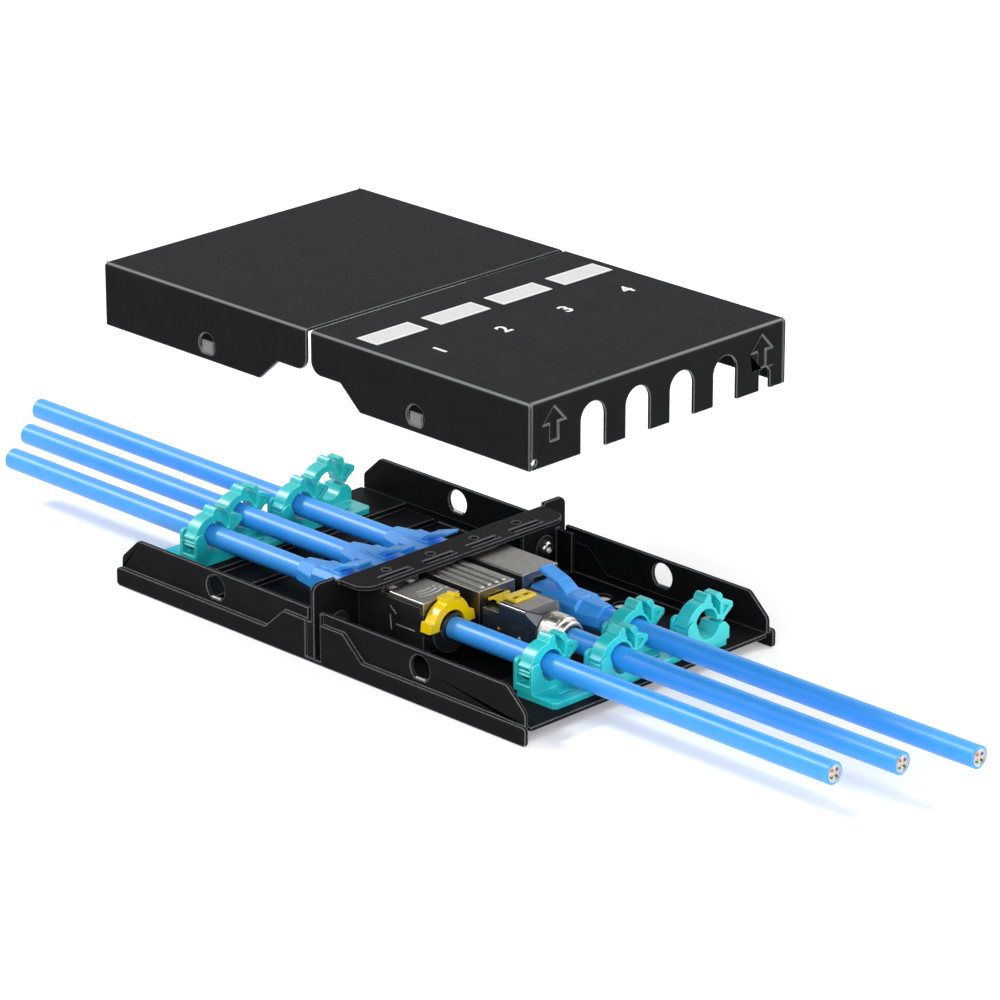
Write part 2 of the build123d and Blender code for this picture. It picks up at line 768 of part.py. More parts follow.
for name, lane, start, end in cable_runs:
    side = 1 if end > start else -1
    with BuildPart() as cable:
        with BuildSketch(outward_plane(start, lane, axis_height, side)):
            Circle(cable_radius)
        extrude(amount=abs(end - start))
    save(cable, name)


def clip_base(foot_x, ring_x, lane):
    """Foot, saddle, rear post, front cheek and thumb plate of one cable clip."""
    post_top = -clip_hinge_radius - clip_hinge_clearance
    pocket_floor = foot_top + clip_pocket_floor
    arm_room = clip_width - clip_cheek - clip_thumb_thickness
    with BuildPart() as base:
        with BuildSketch(Plane(origin=(foot_x, lane, ledge_height))) as foot:
            with Locations((clip_foot_length / 2, 0)):
                Rectangle(clip_foot_length, clip_foot_width)
            chamfer(foot.vertices(), clip_foot_corner)
            slot_side = 1 if ring_x < foot_x + clip_width else -1
            with Locations((clip_foot_length / 2 + slot_side * clip_foot_length / 4, 0)):
                SlotOverall(clip_slot_length, clip_slot_width, rotation=90, mode=Mode.SUBTRACT)
        extrude(amount=clip_foot_thickness)
        with BuildSketch(end_plane(ring_x, lane, axis_height)):
            with BuildLine():
                Polyline(
                    (-clip_front_y, foot_top),
                    (clip_rear_y, foot_top),
                    (clip_rear_y, -clip_rear_y / 3),
                    (clip_hinge_y + clip_hinge_clearance, post_top),
                    (bore_radius * cos(radians(15)), post_top),
                    (-bore_radius, -clip_seat_gap),
                    (-clip_pocket_y, -clip_seat_gap),
                    (-clip_pocket_y, pocket_floor),
                    (-clip_front_y, pocket_floor),
                    close=True,
                )
            make_face()
            Circle(bore_radius, mode=Mode.SUBTRACT)
        extrude(amount=clip_width)
        with BuildSketch(end_plane(ring_x + clip_width - clip_cheek, lane, axis_height)) as cheek:
            with BuildLine():
                Polyline(
                    (-clip_front_y, pocket_floor),
                    (-clip_front_y, clip_shoulder_top),
                    (-bore_radius - clip_cheek, clip_shoulder_top),
                    (-bore_radius - clip_seat_gap, 0),
                    (-clip_pocket_y + clip_cheek, -bore_radius),
                    (-clip_pocket_y, pocket_floor),
                    close=True,
                )
            make_face()
            shoulder = cheek.vertices().group_by(Axis.Y)[-1].sort_by(Axis.X)
            fillet(shoulder[0], clip_shoulder_radius)
            Circle(bore_radius, mode=Mode.SUBTRACT)
        extrude(amount=clip_cheek)
        with BuildSketch(end_plane(ring_x, lane, axis_height)) as thumb:
            with Locations((-clip_front_y + clip_thumb_depth / 2, (pocket_floor + clip_thumb_top) / 2)):
                Rectangle(clip_thumb_depth, clip_thumb_top - pocket_floor)
            fillet(thumb.vertices().group_by(Axis.Y)[-1], clip_thumb_depth / 2 - clip_seat_gap)
            Circle(bore_radius, mode=Mode.SUBTRACT)
        extrude(amount=clip_thumb_thickness)
    return base


def clip_arm(arm_x, lane):
    """Hinged arm of one clip: bowed half ring, finger tabs, pry lug and toothed tongue."""
    arm_width = clip_width - clip_cheek - clip_thumb_thickness - 2 * clip_side_clearance
    tongue_in = -clip_pocket_y - clip_tongue_inset
    tongue_out = -clip_front_y + clip_tongue_inset
    tab_top = ring_radius + clip_tab_rise
    tab_end = clip_tab_thickness
    lever_top = clip_lever_y + clip_tab_thickness / 2
    groove_in = bore_radius + clip_groove_wall
    lug_rim = clip_lug_rim
    teeth = []
    for tooth in range(clip_tooth_count):
        tooth_z = -clip_tongue_drop + 2 * tooth * clip_tooth
        teeth.append((tongue_out + clip_tooth, tooth_z))
        teeth.append((tongue_out, tooth_z + clip_tooth))
    with BuildPart() as arm:
        with BuildSketch(end_plane(arm_x, lane, axis_height)):
            with Locations((-clip_bow_shift, -clip_bow_shift)):
                Circle(clip_bow_radius)
            with Locations((clip_bow_radius, 0)):
                Rectangle(2 * clip_bow_radius, 4 * clip_bow_radius, mode=Mode.SUBTRACT)
            Circle(ring_radius)
            with BuildLine():
                Polyline(
                    (-tab_end / 2, ring_radius),
                    (-tab_end / 4, tab_top - tab_end / 2),
                    (tab_end / 4, tab_top),
                    (3 * tab_end / 4, tab_top),
                    (tab_end, tab_top - tab_end / 2),
                    (tab_end, ring_radius - clip_cheek),
                    (-tab_end / 2, ring_radius - clip_cheek),
                    close=True,
                )
            make_face()
            with BuildLine():
                Polyline(
                    (clip_lever_y, 0),
                    (clip_lever_y, lever_top - tab_end),
                    (clip_lever_y - tab_end, ring_radius + clip_cheek),
                    (clip_lever_y - tab_end, tab_top - clip_cheek),
                    (clip_lever_y, tab_top - lug_rim),
                    (lever_top, lever_top),
                    (clip_lever_tip_y, clip_lug_top),
                    (clip_lever_y + tab_end, clip_lug_top),
                    (clip_lug_reach, clip_lug_tip + lug_rim),
                    (clip_lug_reach, clip_lug_tip - lug_rim),
                    (clip_hinge_y + clip_hinge_radius, 0),
                    close=True,
                )
            make_face()
            with BuildLine():
                Polyline(
                    (groove_in * cos(radians(62)), tab_top),
                    (groove_in * cos(radians(62)), groove_in * sin(radians(66))),
                    (groove_in * cos(radians(40)), groove_in * sin(radians(40))),
                    (groove_in * cos(radians(14)), groove_in * sin(radians(14))),
                    (clip_lever_y, groove_in * sin(radians(12))),
                    (clip_lever_y, ring_radius - clip_cheek),
                    (clip_lever_y - tab_end, ring_radius + clip_seat_gap),
                    (clip_lever_y - tab_end, tab_top),
                    close=True,
                )
            make_face(mode=Mode.SUBTRACT)
            with Locations((0, -clip_bow_radius)):
                Rectangle(4 * clip_bow_radius, 2 * clip_bow_radius, mode=Mode.SUBTRACT)
            with Locations((clip_hinge_y, 0)):
                Circle(clip_hinge_radius)
            with BuildLine():
                Polyline(
                    (-bore_radius, 0),
                    (tongue_in, 0),
                    (tongue_in, -clip_tongue_drop),
                    *teeth,
                    (tongue_out, clip_shoulder_top / 2),
                    (-clip_bow_radius, clip_shoulder_top),
                    (-bore_radius, clip_shoulder_top),
                    close=True,
                )
            make_face()
            Circle(bore_radius, mode=Mode.SUBTRACT)
        extrude(amount=arm_width)
        with BuildSketch(end_plane(arm_x + arm_width, lane, axis_height)):
            with BuildLine():
                Polyline(
                    (clip_lever_tip_y + lug_rim, clip_lug_top - 2 * lug_rim),
                    (clip_lug_reach - 2 * lug_rim, clip_lug_tip),
                    (clip_lever_tip_y + lug_rim, lug_rim),
                    close=True,
                )
            make_face()
        extrude(amount=-clip_lug_pocket_depth, mode=Mode.SUBTRACT)
    return arm


# Eight ratchet clips, staggered so that each pry lug passes beside its neighbour
for side, side_name in ((-1, "left"), (1, "right")):
    for port in range(1, port_count + 1):
        lane = lanes[port - 1]
        outer = port % 2 == 0
        near = clip_even_x if outer else clip_odd_x[side]
        foot_x = near if side > 0 else -near - clip_foot_length
        at_far_end = outer == (side > 0)
        ring_x = foot_x + clip_foot_length - clip_width if at_far_end else foot_x
        base = clip_base(foot_x, ring_x, lane)
        save(base, "clip_base_" + side_name + "_" + str(port))
        arm = clip_arm(ring_x + clip_thumb_thickness + clip_side_clearance, lane)
        save(arm, "clip_arm_" + side_name + "_" + str(port))


def cover_side_outline(side):
    """Outline of a cover's long side: its lower edge follows the skirt."""
    seam_x = cover_seam / 2
    end_x = tray_half + cover_end_gap + cover_sheet
    top = cover_lift + cover_height
    low = cover_lift + skirt_low + cover_skirt_gap
    high = cover_lift + skirt_high + cover_skirt_gap
    return [
        (side * seam_x, top),
        (side * end_x, top),
        (side * end_x, low),
        (side * (shoulder_out_x + cover_skirt_gap), low),
        (side * (shoulder_x + cover_skirt_gap), high),
        (side * seam_x, high),
    ]


def cover_shell(side):
    """One folded cover half, held above the tray: top, two long sides and the end comb."""
    seam_x = cover_seam / 2
    end_x = tray_half + cover_end_gap + cover_sheet
    top = cover_lift + cover_height
    low = cover_lift + skirt_low + cover_skirt_gap
    arch_radius = arch_diameter / 2
    arch_z = top - arch_top_drop - arch_radius
    end_face = end_x - cover_sheet if side > 0 else -end_x
    with BuildPart() as cover:
        with BuildSketch(Plane.XY.offset(top - cover_sheet)):
            with Locations((side * (seam_x + end_x) / 2, 0)):
                Rectangle(end_x - seam_x, tray_width)
        extrude(amount=cover_sheet)
        for front in (-1, 1):
            face = outer_y if front > 0 else -outer_y + cover_sheet
            with BuildSketch(side_plane(face)) as flank:
                with BuildLine():
                    Polyline(*cover_side_outline(side), close=True)
                make_face()
                seam_corner = flank.vertices().group_by(Axis.X)[0 if side > 0 else -1]
                fillet(seam_corner.sort_by(Axis.Y)[0], cover_seam_corner_radius)
            extrude(amount=cover_sheet)
        with BuildSketch(end_plane(end_face)):
            with Locations((0, (top + low) / 2)):
                Rectangle(tray_width, top - low)
        extrude(amount=cover_sheet)
        top_edges = cover.edges().filter_by_position(Axis.Z, top - 0.01, top + 0.01)
        long_edges = top_edges.filter_by(Axis.X).sort_by(Axis.Y)
        end_edges = top_edges.filter_by(Axis.Y).sort_by(Axis.X)
        end_edge = end_edges[-1] if side > 0 else end_edges[0]
        fillet([long_edges[0], long_edges[-1], end_edge], cover_bend_radius)
        with BuildSketch(end_plane(end_face)):
            with Locations(*[(lane, arch_z) for lane in lanes]):
                Circle(arch_radius)
            with Locations(*[(lane, (arch_z + low) / 2) for lane in lanes]):
                Rectangle(arch_diameter, arch_z - low)
            notch_z = top - end_notch_drop - end_notch_width / 2
            with Locations((end_notch_y, notch_z)):
                Circle(end_notch_width / 2)
            with Locations((end_notch_y, (notch_z + low) / 2)):
                Rectangle(end_notch_width, notch_z - low)
            with Locations((-outer_y + 2 * cover_sheet, low + 2 * cover_sheet)):
                Circle(end_hole_diameter / 2)
        extrude(amount=cover_sheet, mode=Mode.SUBTRACT)
        window_low = cover_lift + latch_z - cover_window_flat_drop
        for front in (-1, 1):
            face = front * outer_y
            with BuildSketch(side_plane(face)):
                with Locations((side * latch_x, cover_lift + latch_z)):
                    Circle(cover_window_radius)
                with Locations((side * latch_x, window_low - cover_window_radius)):
                    Rectangle(2 * cover_window_radius, 2 * cover_window_radius, mode=Mode.SUBTRACT)
            extrude(amount=front * recess_depth, mode=Mode.SUBTRACT)
            with BuildSketch(side_plane(face - front * recess_depth)):
                with Locations((side * latch_x, window_low + tongue_height / 2)):
                    Rectangle(tongue_width, tongue_height)
            extrude(amount=-front * tongue_proud)
        outside = side * end_x
        for mark in (-1, 1):
            apex = top - arrow_apex_drop
            wing = apex - arrow_head_height
            with BuildSketch(end_plane(outside)):
                with BuildLine():
                    Polyline(
                        (mark * arrow_y, apex),
                        (mark * arrow_y + arrow_head_half_width, wing),
                        (mark * arrow_y + arrow_stem_half_width, wing),
                        (mark * arrow_y + arrow_stem_half_width, wing - arrow_stem_height),
                        (mark * arrow_y - arrow_stem_half_width, wing - arrow_stem_height),
                        (mark * arrow_y - arrow_stem_half_width, wing),
                        (mark * arrow_y - arrow_head_half_width, wing),
                        close=True,
                    )
                make_face()
            extrude(amount=-side * arrow_depth, mode=Mode.SUBTRACT)
            with BuildSketch(Plane.XY.offset(low)):
                with Locations((outside, mark * (outer_y - cover_sheet))):
                    Rectangle(2 * corner_line_depth, corner_line_width)
            extrude(amount=cover_height - skirt_low - cover_bend_radius, mode=Mode.SUBTRACT)
    return cover


save(cover_shell(-1), "cover_left")
save(cover_shell(1), "cover_right")

# Label fields, one for each port, on top of the right cover
for port in range(1, port_count + 1):
    label_y = label_pitch * (port - (port_count + 1) / 2)
    with BuildPart() as label:
        with BuildSketch(Plane.XY.offset(cover_lift + cover_height)):
            with Locations((label_x, label_y)):
                Rectangle(label_width, label_length)
        extrude(amount=label_thickness)
    save(label, "label_" + str(port))
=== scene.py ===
"""Finishes and fine pieces of a small cable housing with lift-off covers.

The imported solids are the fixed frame. Each Assembly below dresses one sub-assembly: it takes the
solids' own meshes, rounds their edges as a press brake or a mould leaves them, and adds the
small pieces that only show from close by. Sizes are in millimetres until they reach Blender,
where MM turns them into metres. Only the lamps are placed in metres.
"""

from __future__ import annotations

import json
import logging
import math
from dataclasses import dataclass, field, replace
from enum import Enum

import bmesh
import bpy
from mathutils import Matrix, Vector

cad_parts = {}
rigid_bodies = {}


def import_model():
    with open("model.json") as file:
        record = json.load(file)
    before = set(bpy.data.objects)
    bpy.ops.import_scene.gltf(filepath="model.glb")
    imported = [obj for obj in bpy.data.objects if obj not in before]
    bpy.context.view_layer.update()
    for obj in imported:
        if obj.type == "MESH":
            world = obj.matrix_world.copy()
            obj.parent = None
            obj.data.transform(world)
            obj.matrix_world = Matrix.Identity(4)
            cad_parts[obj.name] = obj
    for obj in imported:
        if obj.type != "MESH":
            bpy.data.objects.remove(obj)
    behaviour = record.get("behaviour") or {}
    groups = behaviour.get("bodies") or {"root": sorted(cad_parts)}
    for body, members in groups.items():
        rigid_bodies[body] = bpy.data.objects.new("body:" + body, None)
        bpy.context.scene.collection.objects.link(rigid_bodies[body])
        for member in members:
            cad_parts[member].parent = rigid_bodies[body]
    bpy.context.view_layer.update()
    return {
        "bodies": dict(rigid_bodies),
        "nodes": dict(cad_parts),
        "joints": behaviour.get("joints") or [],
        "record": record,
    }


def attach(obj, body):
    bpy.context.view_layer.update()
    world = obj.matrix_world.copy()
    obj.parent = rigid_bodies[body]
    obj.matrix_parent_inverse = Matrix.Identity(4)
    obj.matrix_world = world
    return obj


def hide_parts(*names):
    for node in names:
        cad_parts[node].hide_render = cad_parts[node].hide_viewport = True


LOG = logging.getLogger("patch_housing")
MM = 0.001

Piece = bpy.types.Object
Material = bpy.types.Material
Owner = bpy.types.Material | bpy.types.World
Socket = bpy.types.NodeSocket
Mesh = bpy.types.Mesh
Pair = tuple[float, float]
Triple = tuple[float, float, float]

UP = Vector((0, 0, 1))
FRONT = Vector((0, -1, 0))
RIGHT = Vector((1, 0, 0))

PORTS = (1, 2, 3, 4)
PORT_PITCH = 20.6
AXIS_HEIGHT = 15.4
COVER_TOP = 117.8
JACK_TOP = 24.6
JACK_SIDE = -39.4

# Values of a noise pattern that give the two ends of what it drives
PATTERN_LOW, PATTERN_HIGH = 0.3, 0.7
MOTTLE_DETAIL, MOTTLE_ROUGHNESS = 4.0, 0.6
# How far light spreads under the skin of a plastic that lets some in
LIGHT_SPREAD_MM = 1.5
BEVEL_SAMPLES = 4
# Painted highlights fade in along folds by the normal's largest component (1 on a flat, least
# amid a fold), and along edges by how far the rounded and the plain normal agree (1 on open
# surface): where each starts, ends, and its share
FOLD_HIGHLIGHT_FADE = (0.96, 0.76, 0.85)
EDGE_HIGHLIGHT_FADE = (0.995, 0.94, 0.9)

# Section of a raised bar, in shares of its width and height; the foot sinks into the surface
BAR_SECTION = ((-0.5, -0.2), (-0.5, 0.5), (-0.3, 1.0), (0.3, 1.0), (0.5, 0.5), (0.5, -0.2))
# A domed button sinks by its root, and its shoulder and flat are shares of height and radius
BUTTON_ROOT_MM, BUTTON_SHOULDER, BUTTON_FLAT = 0.1, 0.5, 0.7
RING_ROUND_OFF = 0.15
TURNED_FACETS = 28
DRAFT_WELD, DRAFT_SMOOTH_DEG = 1e-6, 35

# Solids are welded, and facets that lie almost flat are joined, before their edges are rounded
SOLID_WELD, FLAT_DEG, SOLID_SMOOTH_DEG = 2e-6, 1.5, 40
# An edge sharper than this is rounded by up to this share of the shortest edge that it meets
CORNER_DEG, ROOM_SHARE = 32, 0.4
# Edges that run on in line leave full room, and a share below the least is left sharp
RUN_ON_COSINE, LEAST_SHARE = -0.8, 0.12


class Body(str, Enum):
    """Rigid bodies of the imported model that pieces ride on."""

    PANEL = "panel"
    COVER_LEFT = "cover_left"
    COVER_RIGHT = "cover_right"


class Slot(str, Enum):
    """Material slots of the record."""

    STEEL = "powder_coated_steel"
    TEAL = "teal_nylon"
    JACKET = "blue_jacket"
    BOOT = "blue_boot"
    CLEAR = "clear_polycarbonate"
    LABEL = "label_film"
    ZINC = "zinc_plated_steel"
    BLACK = "black_plastic"
    YELLOW = "yellow_plastic"
    DARK = "dark_plastic"
    NICKEL = "nickel_zinc_casting"
    GREY = "grey_plastic"


class Lay(str, Enum):
    """How a cable lies along its lane."""

    TAUT = "taut"


def spread(port: int, pitch: float) -> float:
    """Return where a port lies when the ports stand a pitch apart about their middle."""
    return pitch * (port - (PORTS[0] + PORTS[-1]) / 2)


LANES = tuple(spread(port, PORT_PITCH) for port in PORTS)


def linear(hex_colour: str) -> tuple[float, float, float, float]:
    """Turn an sRGB hex colour into linear light.

    Args:
        hex_colour: Six hex digits, with or without a leading hash.

    Returns:
        Red, green, blue and alpha for a shader socket.
    """
    digits = hex_colour.lstrip("#")
    channels = [int(digits[i : i + 2], 16) / 255 for i in (0, 2, 4)]
    values = [c / 12.92 if c <= 0.04045 else ((c + 0.055) / 1.055) ** 2.4 for c in channels]
    return (values[0], values[1], values[2], 1.0)


def per_mm(size_mm: float) -> float:
    """Return the texture scale whose features are about size_mm across in metre space."""
    return 1.0 / (size_mm * MM)


def add_node(
    owner: Owner, kind: str, inputs: dict | None = None, settings: dict | None = None
) -> bpy.types.ShaderNode:
    """Add one shader node.

    Args:
        owner: Material or world whose tree takes the node.
        kind: Blender's name of the node type, without its ShaderNode prefix.
        inputs: Socket name or index, to a constant or to the output socket that feeds it.
        settings: Attributes of the node itself.

    Returns:
        The new node.
    """
    node = owner.node_tree.nodes.new(f"ShaderNode{kind}")
    for key, value in (settings or {}).items():
        setattr(node, key, value)
    for key, value in (inputs or {}).items():
        if isinstance(value, Socket):
            owner.node_tree.links.new(value, node.inputs[key])
        else:
            node.inputs[key].default_value = value
    return node


def largest_of(owner: Owner, sources: list[Socket]) -> Socket:
    """Return the largest of several values.

    Args:
        owner: Material or world whose tree takes the nodes.
        sources: Outputs that carry the values.

    Returns:
        The output that carries the largest.
    """
    largest = sources[0]
    for source in sources[1:]:
        larger = add_node(owner, "Math", {0: largest, 1: source}, {"operation": "MAXIMUM"})
        largest = larger.outputs[0]
    return largest


def seen_rays(owner: Owner) -> Socket:
    """Return a value that is 1 for camera, mirror and glass rays."""
    rays = add_node(owner, "LightPath").outputs
    kinds = ("Camera", "Glossy", "Transmission")
    return largest_of(owner, [rays[f"Is {kind} Ray"] for kind in kinds])


def blank_material(name: str) -> Material:
    """Return a new node material with an empty tree."""
    material = bpy.data.materials.new(name)
    material.use_nodes = True
    material.node_tree.nodes.clear()
    return material


def ramp_between(material: Material, source: Socket, colours: tuple[str, str]) -> Socket:
    """Map a pattern's value onto two colours.

    Args:
        material: Material whose tree takes the ramp.
        source: Pattern value from 0 to 1.
        colours: Hex colours at the low and the high end.

    Returns:
        The ramp's colour output.
    """
    node = add_node(material, "ValToRGB", {0: source})
    stops = zip(node.color_ramp.elements, (PATTERN_LOW, PATTERN_HIGH), colours)
    for element, position, colour in stops:
        element.position = position
        element.color = linear(colour)
    return node.outputs["Color"]


def fade(
    material: Material, colour: Socket, target: str, measure: Socket, limits: Triple
) -> Socket:
    """Fade a colour into another.

    Args:
        material: Material whose tree takes the nodes.
        colour: Colour to fade from.
        target: Hex colour to fade into.
        measure: Value that drives the fade.
        limits: The measure where the fade starts, where it ends, and its share there.

    Returns:
        The faded colour.
    """
    start, end, most = limits
    share = add_node(material, "MapRange", {0: measure, 1: start, 2: end, 3: 0.0, 4: most})
    sockets = {0: share.outputs["Result"], 6: colour, 7: linear(target)}
    return add_node(material, "Mix", sockets, {"data_type": "RGBA"}).outputs[2]


@dataclass(frozen=True)
class Finish:
    """A finish with a mottled colour, a mottled roughness and a fine surface relief."""

    name: str
    colours: tuple[str, str]
    roughness: Pair
    mottle_mm: float = 3.0
    grain_mm: float = 0.3
    relief_mm: float = 0.002
    metallic: float = 0.0
    ior: float = 1.5
    coat: float = 0.0
    subsurface: float = 0.0
    transmission: float = 0.0
    specular: float = 0.5
    coat_roughness: float = 0.12
    grain_detail: float = 2.0
    grain_stretch: Triple = (1.0, 1.0, 1.0)
    # Colours of the painted highlights along edges and folds, and how far the edge highlight
    # reaches
    edge_hex: str | None = None
    edge_mm: float = 0.35
    bend_hex: str | None = None

    def build(self) -> Material:
        """Build the node material.

        Returns:
            The material, ready to put on a mesh.
        """
        material = blank_material(self.name)
        place = add_node(material, "TexCoord").outputs["Object"]
        mottle = add_node(
            material,
            "TexNoise",
            {
                "Vector": place,
                "Scale": per_mm(self.mottle_mm),
                "Detail": MOTTLE_DETAIL,
                "Roughness": MOTTLE_ROUGHNESS,
            },
        ).outputs["Fac"]
        colour = ramp_between(material, mottle, self.colours)
        # Painted highlights along folds and along edges
        if self.bend_hex:
            colour = self.lighten_bends(material, colour)
        if self.edge_hex:
            colour = self.burnish(material, colour)
        stretched = add_node(material, "Mapping", {"Vector": place, "Scale": self.grain_stretch})
        grain = add_node(
            material,
            "TexNoise",
            {
                "Vector": stretched.outputs["Vector"],
                "Scale": per_mm(self.grain_mm),
                "Detail": self.grain_detail,
            },
        ).outputs["Fac"]
        low, high = self.roughness
        rough = add_node(
            material, "MapRange", {0: grain, 1: PATTERN_LOW, 2: PATTERN_HIGH, 3: low, 4: high}
        )
        relief = {"Height": grain, "Strength": 1.0, "Distance": self.relief_mm * MM}
        surface = add_node(
            material,
            "BsdfPrincipled",
            {
                "Base Color": colour,
                "Roughness": rough.outputs["Result"],
                "Normal": add_node(material, "Bump", relief).outputs["Normal"],
                "Metallic": self.metallic,
                "IOR": self.ior,
                "Specular IOR Level": self.specular,
                "Coat Weight": self.coat,
                "Coat Roughness": self.coat_roughness,
                "Transmission Weight": self.transmission,
                "Subsurface Weight": self.subsurface,
                "Subsurface Scale": LIGHT_SPREAD_MM * MM,
            },
        )
        add_node(material, "OutputMaterial", {"Surface": surface.outputs["BSDF"]})
        return material

    def lighten_bends(self, material: Material, colour: Socket) -> Socket:
        """Paint a highlight into the colour where the sheet turns from one flat into the next.

        Args:
            material: Material whose tree takes the nodes.
            colour: Colour of the flats.

        Returns:
            The colour with a painted highlight on its folds.
        """
        facing = add_node(material, "NewGeometry").outputs["Normal"]
        sizes = add_node(material, "VectorMath", {0: facing}, {"operation": "ABSOLUTE"})
        axes = add_node(material, "SeparateXYZ", {0: sizes.outputs["Vector"]}).outputs
        flatness = largest_of(material, [axes[axis] for axis in "XYZ"])
        return fade(material, colour, self.bend_hex, flatness, FOLD_HIGHLIGHT_FADE)

    def burnish(self, material: Material, colour: Socket) -> Socket:
        """Paint a highlight into the colour along edges.

        Args:
            material: Material whose tree takes the nodes.
            colour: Colour of the open surface.

        Returns:
            The colour with a painted highlight on its edges.
        """
        radius = {"Radius": self.edge_mm * MM}
        rounded = add_node(material, "Bevel", radius, {"samples": BEVEL_SAMPLES}).outputs[0]
        plain = add_node(material, "NewGeometry").outputs["Normal"]
        product = {"operation": "DOT_PRODUCT"}
        agree = add_node(material, "VectorMath", {0: rounded, 1: plain}, product)
        return fade(material, colour, self.edge_hex, agree.outputs["Value"], EDGE_HIGHLIGHT_FADE)


# Polyester powder coat on folded steel: near-black, matt, with the orange peel of baked powder,
# its sheared edges and bends lightened by a painted highlight
POWDER_COAT = Finish(
    "powder_coated_steel", ("141416", "1A1A1D"), roughness=(0.42, 0.54), mottle_mm=9.0,
    grain_mm=0.8, relief_mm=0.003, specular=0.03, edge_hex="8E8E90", edge_mm=0.6,
)
# The same coat on the covers, with a soft grey painted highlight along their folds
COVER_COAT = replace(POWDER_COAT, name="powder_coated_cover", bend_hex="8C8C8E")
# Injection-moulded nylon: an even bright teal that lets a little light into thin edges, with a
# painted highlight along its edges
TEAL_NYLON = Finish(
    "moulded_teal_nylon", ("18C8CC", "22D2D4"), roughness=(0.28, 0.4), mottle_mm=6.0,
    grain_mm=0.5, relief_mm=0.006, ior=1.53, coat=0.35, coat_roughness=0.32, subsurface=0.06,
    edge_hex="7DF2EE", edge_mm=0.4,
)
# Extruded cable jacket: satin blue with fine draw lines along its run
BLUE_JACKET = Finish(
    "extruded_blue_jacket", ("2E9DFA", "38A3FD"), roughness=(0.38, 0.48), mottle_mm=8.0,
    grain_mm=0.6, relief_mm=0.004, coat=0.45, coat_roughness=0.36, grain_stretch=(0.05, 1.0, 1.0),
)
# Soft moulded boot: the jacket's blue, a little more matt from the spark-eroded mould, with a
# painted highlight along its edges
BLUE_BOOT = Finish(
    "moulded_blue_boot", ("2C9CFA", "3CA5FE"), roughness=(0.4, 0.55), mottle_mm=5.0,
    grain_mm=0.35, relief_mm=0.008, coat=0.25, coat_roughness=0.38, grain_detail=4.0,
    edge_hex="7FBEFF", edge_mm=0.5,
)
# Nickel plate on a zinc die casting: warm grey metal, cloudy, with a painted highlight along its
# edges
NICKEL_CASTING = Finish(
    "nickel_plated_zinc", ("7E7C78", "92908B"), roughness=(0.26, 0.44), mottle_mm=2.5,
    grain_mm=0.4, relief_mm=0.005, metallic=1.0, grain_detail=4.0, edge_hex="F4F4F0", edge_mm=0.5,
)
# Bright nickel on turned and pressed parts: pale metal with a soft, broad sheen and a painted
# highlight along its edges
BRIGHT_NICKEL = Finish(
    "turned_bright_nickel", ("CFCCC5", "DDDAD3"), roughness=(0.3, 0.4), mottle_mm=1.5,
    metallic=1.0, edge_hex="F6F6F2", edge_mm=0.3,
)
# Tabs ground flat after plating: pale nickel, dull enough to stay light in the shade
GROUND_TAB = replace(BRIGHT_NICKEL, name="ground_nickel_tab", metallic=0.3, edge_hex=None)
# Moulded acetal in signal yellow: glossy, dense colour, with a painted highlight along its edges
YELLOW_ACETAL = Finish(
    "moulded_yellow_acetal", ("FFD400", "FFDE00"), roughness=(0.22, 0.3), mottle_mm=4.0,
    grain_mm=0.5, relief_mm=0.003, edge_hex="FFEE80", edge_mm=0.3,
)
# Glass-filled dark plastic: charcoal with a dull sheen, its edges lightened to grey by a painted
# highlight
CHARCOAL_PLASTIC = Finish(
    "moulded_charcoal_plastic", ("1A1A1C", "242426"), roughness=(0.32, 0.5), grain_mm=0.4,
    relief_mm=0.006, specular=0.3, edge_hex="8A8A88", edge_mm=0.3,
)
# Painted highlight on tongues and window lips: mid grey steel with a dull sheen
HIGHLIGHT_GREY_STEEL = Finish(
    "painted_highlight_grey_steel", ("6E6E70", "7C7C7E"), roughness=(0.35, 0.5), mottle_mm=1.5,
    grain_mm=0.4, relief_mm=0.004, metallic=0.6,
)
# Painted shade in a pressed window's hollow: a near-black sheet, no gloss
WINDOW_PAINTED_SHADE = Finish(
    "window_hollow", ("050505", "080808"), roughness=(0.7, 0.8), mottle_mm=2.0, grain_mm=0.5,
    specular=0.05,
)
# Painted shade in the clips' strap openings: nearly black teal
CLIP_PAINTED_SHADE = replace(WINDOW_PAINTED_SHADE, name="clip_hollow", colours=("042524", "083130"))
# Polished dark shell of the field plug: navy grey with sharp reflections
NAVY_SHELL = Finish(
    "polished_navy_shell", ("252B36", "303642"), roughness=(0.14, 0.22), grain_mm=0.5, coat=0.4
)
# Grey moulded plastic: satin skin, its parting edges lightened pale by a painted highlight
GREY_PLASTIC = Finish(
    "moulded_grey_plastic", ("7C7A75", "888681"), roughness=(0.36, 0.46), grain_mm=0.4,
    relief_mm=0.004, coat=0.4, coat_roughness=0.2, edge_hex="DAD6CE", edge_mm=0.4,
)
# Clear polycarbonate: water-clear moulding with sharp reflections
CLEAR_POLYCARBONATE = Finish(
    "clear_polycarbonate", ("D8DEE2", "E4E9EC"), roughness=(0.08, 0.14), mottle_mm=6.0,
    grain_mm=1.0, ior=1.585, transmission=0.85,
)
# Bright zinc plate on steel: pale metal with a fine haze
ZINC_PLATE = Finish(
    "bright_zinc_plate", ("B4B4B0", "C8C8C4"), roughness=(0.2, 0.32), mottle_mm=1.5,
    relief_mm=0.003, metallic=1.0,
)
# Screen-printed ink: flat white, dry surface
PRINT_WHITE = Finish(
    "screen_print_white", ("E0E0E0", "EAEAEA"), roughness=(0.5, 0.6), mottle_mm=2.0, relief_mm=0.001
)
# Grey raised lines on the jack's side: a painted highlight, built like the white ink
RIDGE_HIGHLIGHT_GREY = replace(PRINT_WHITE, name="painted_ridge_highlight_grey", colours=("8E8E8C", "9C9C9A"))
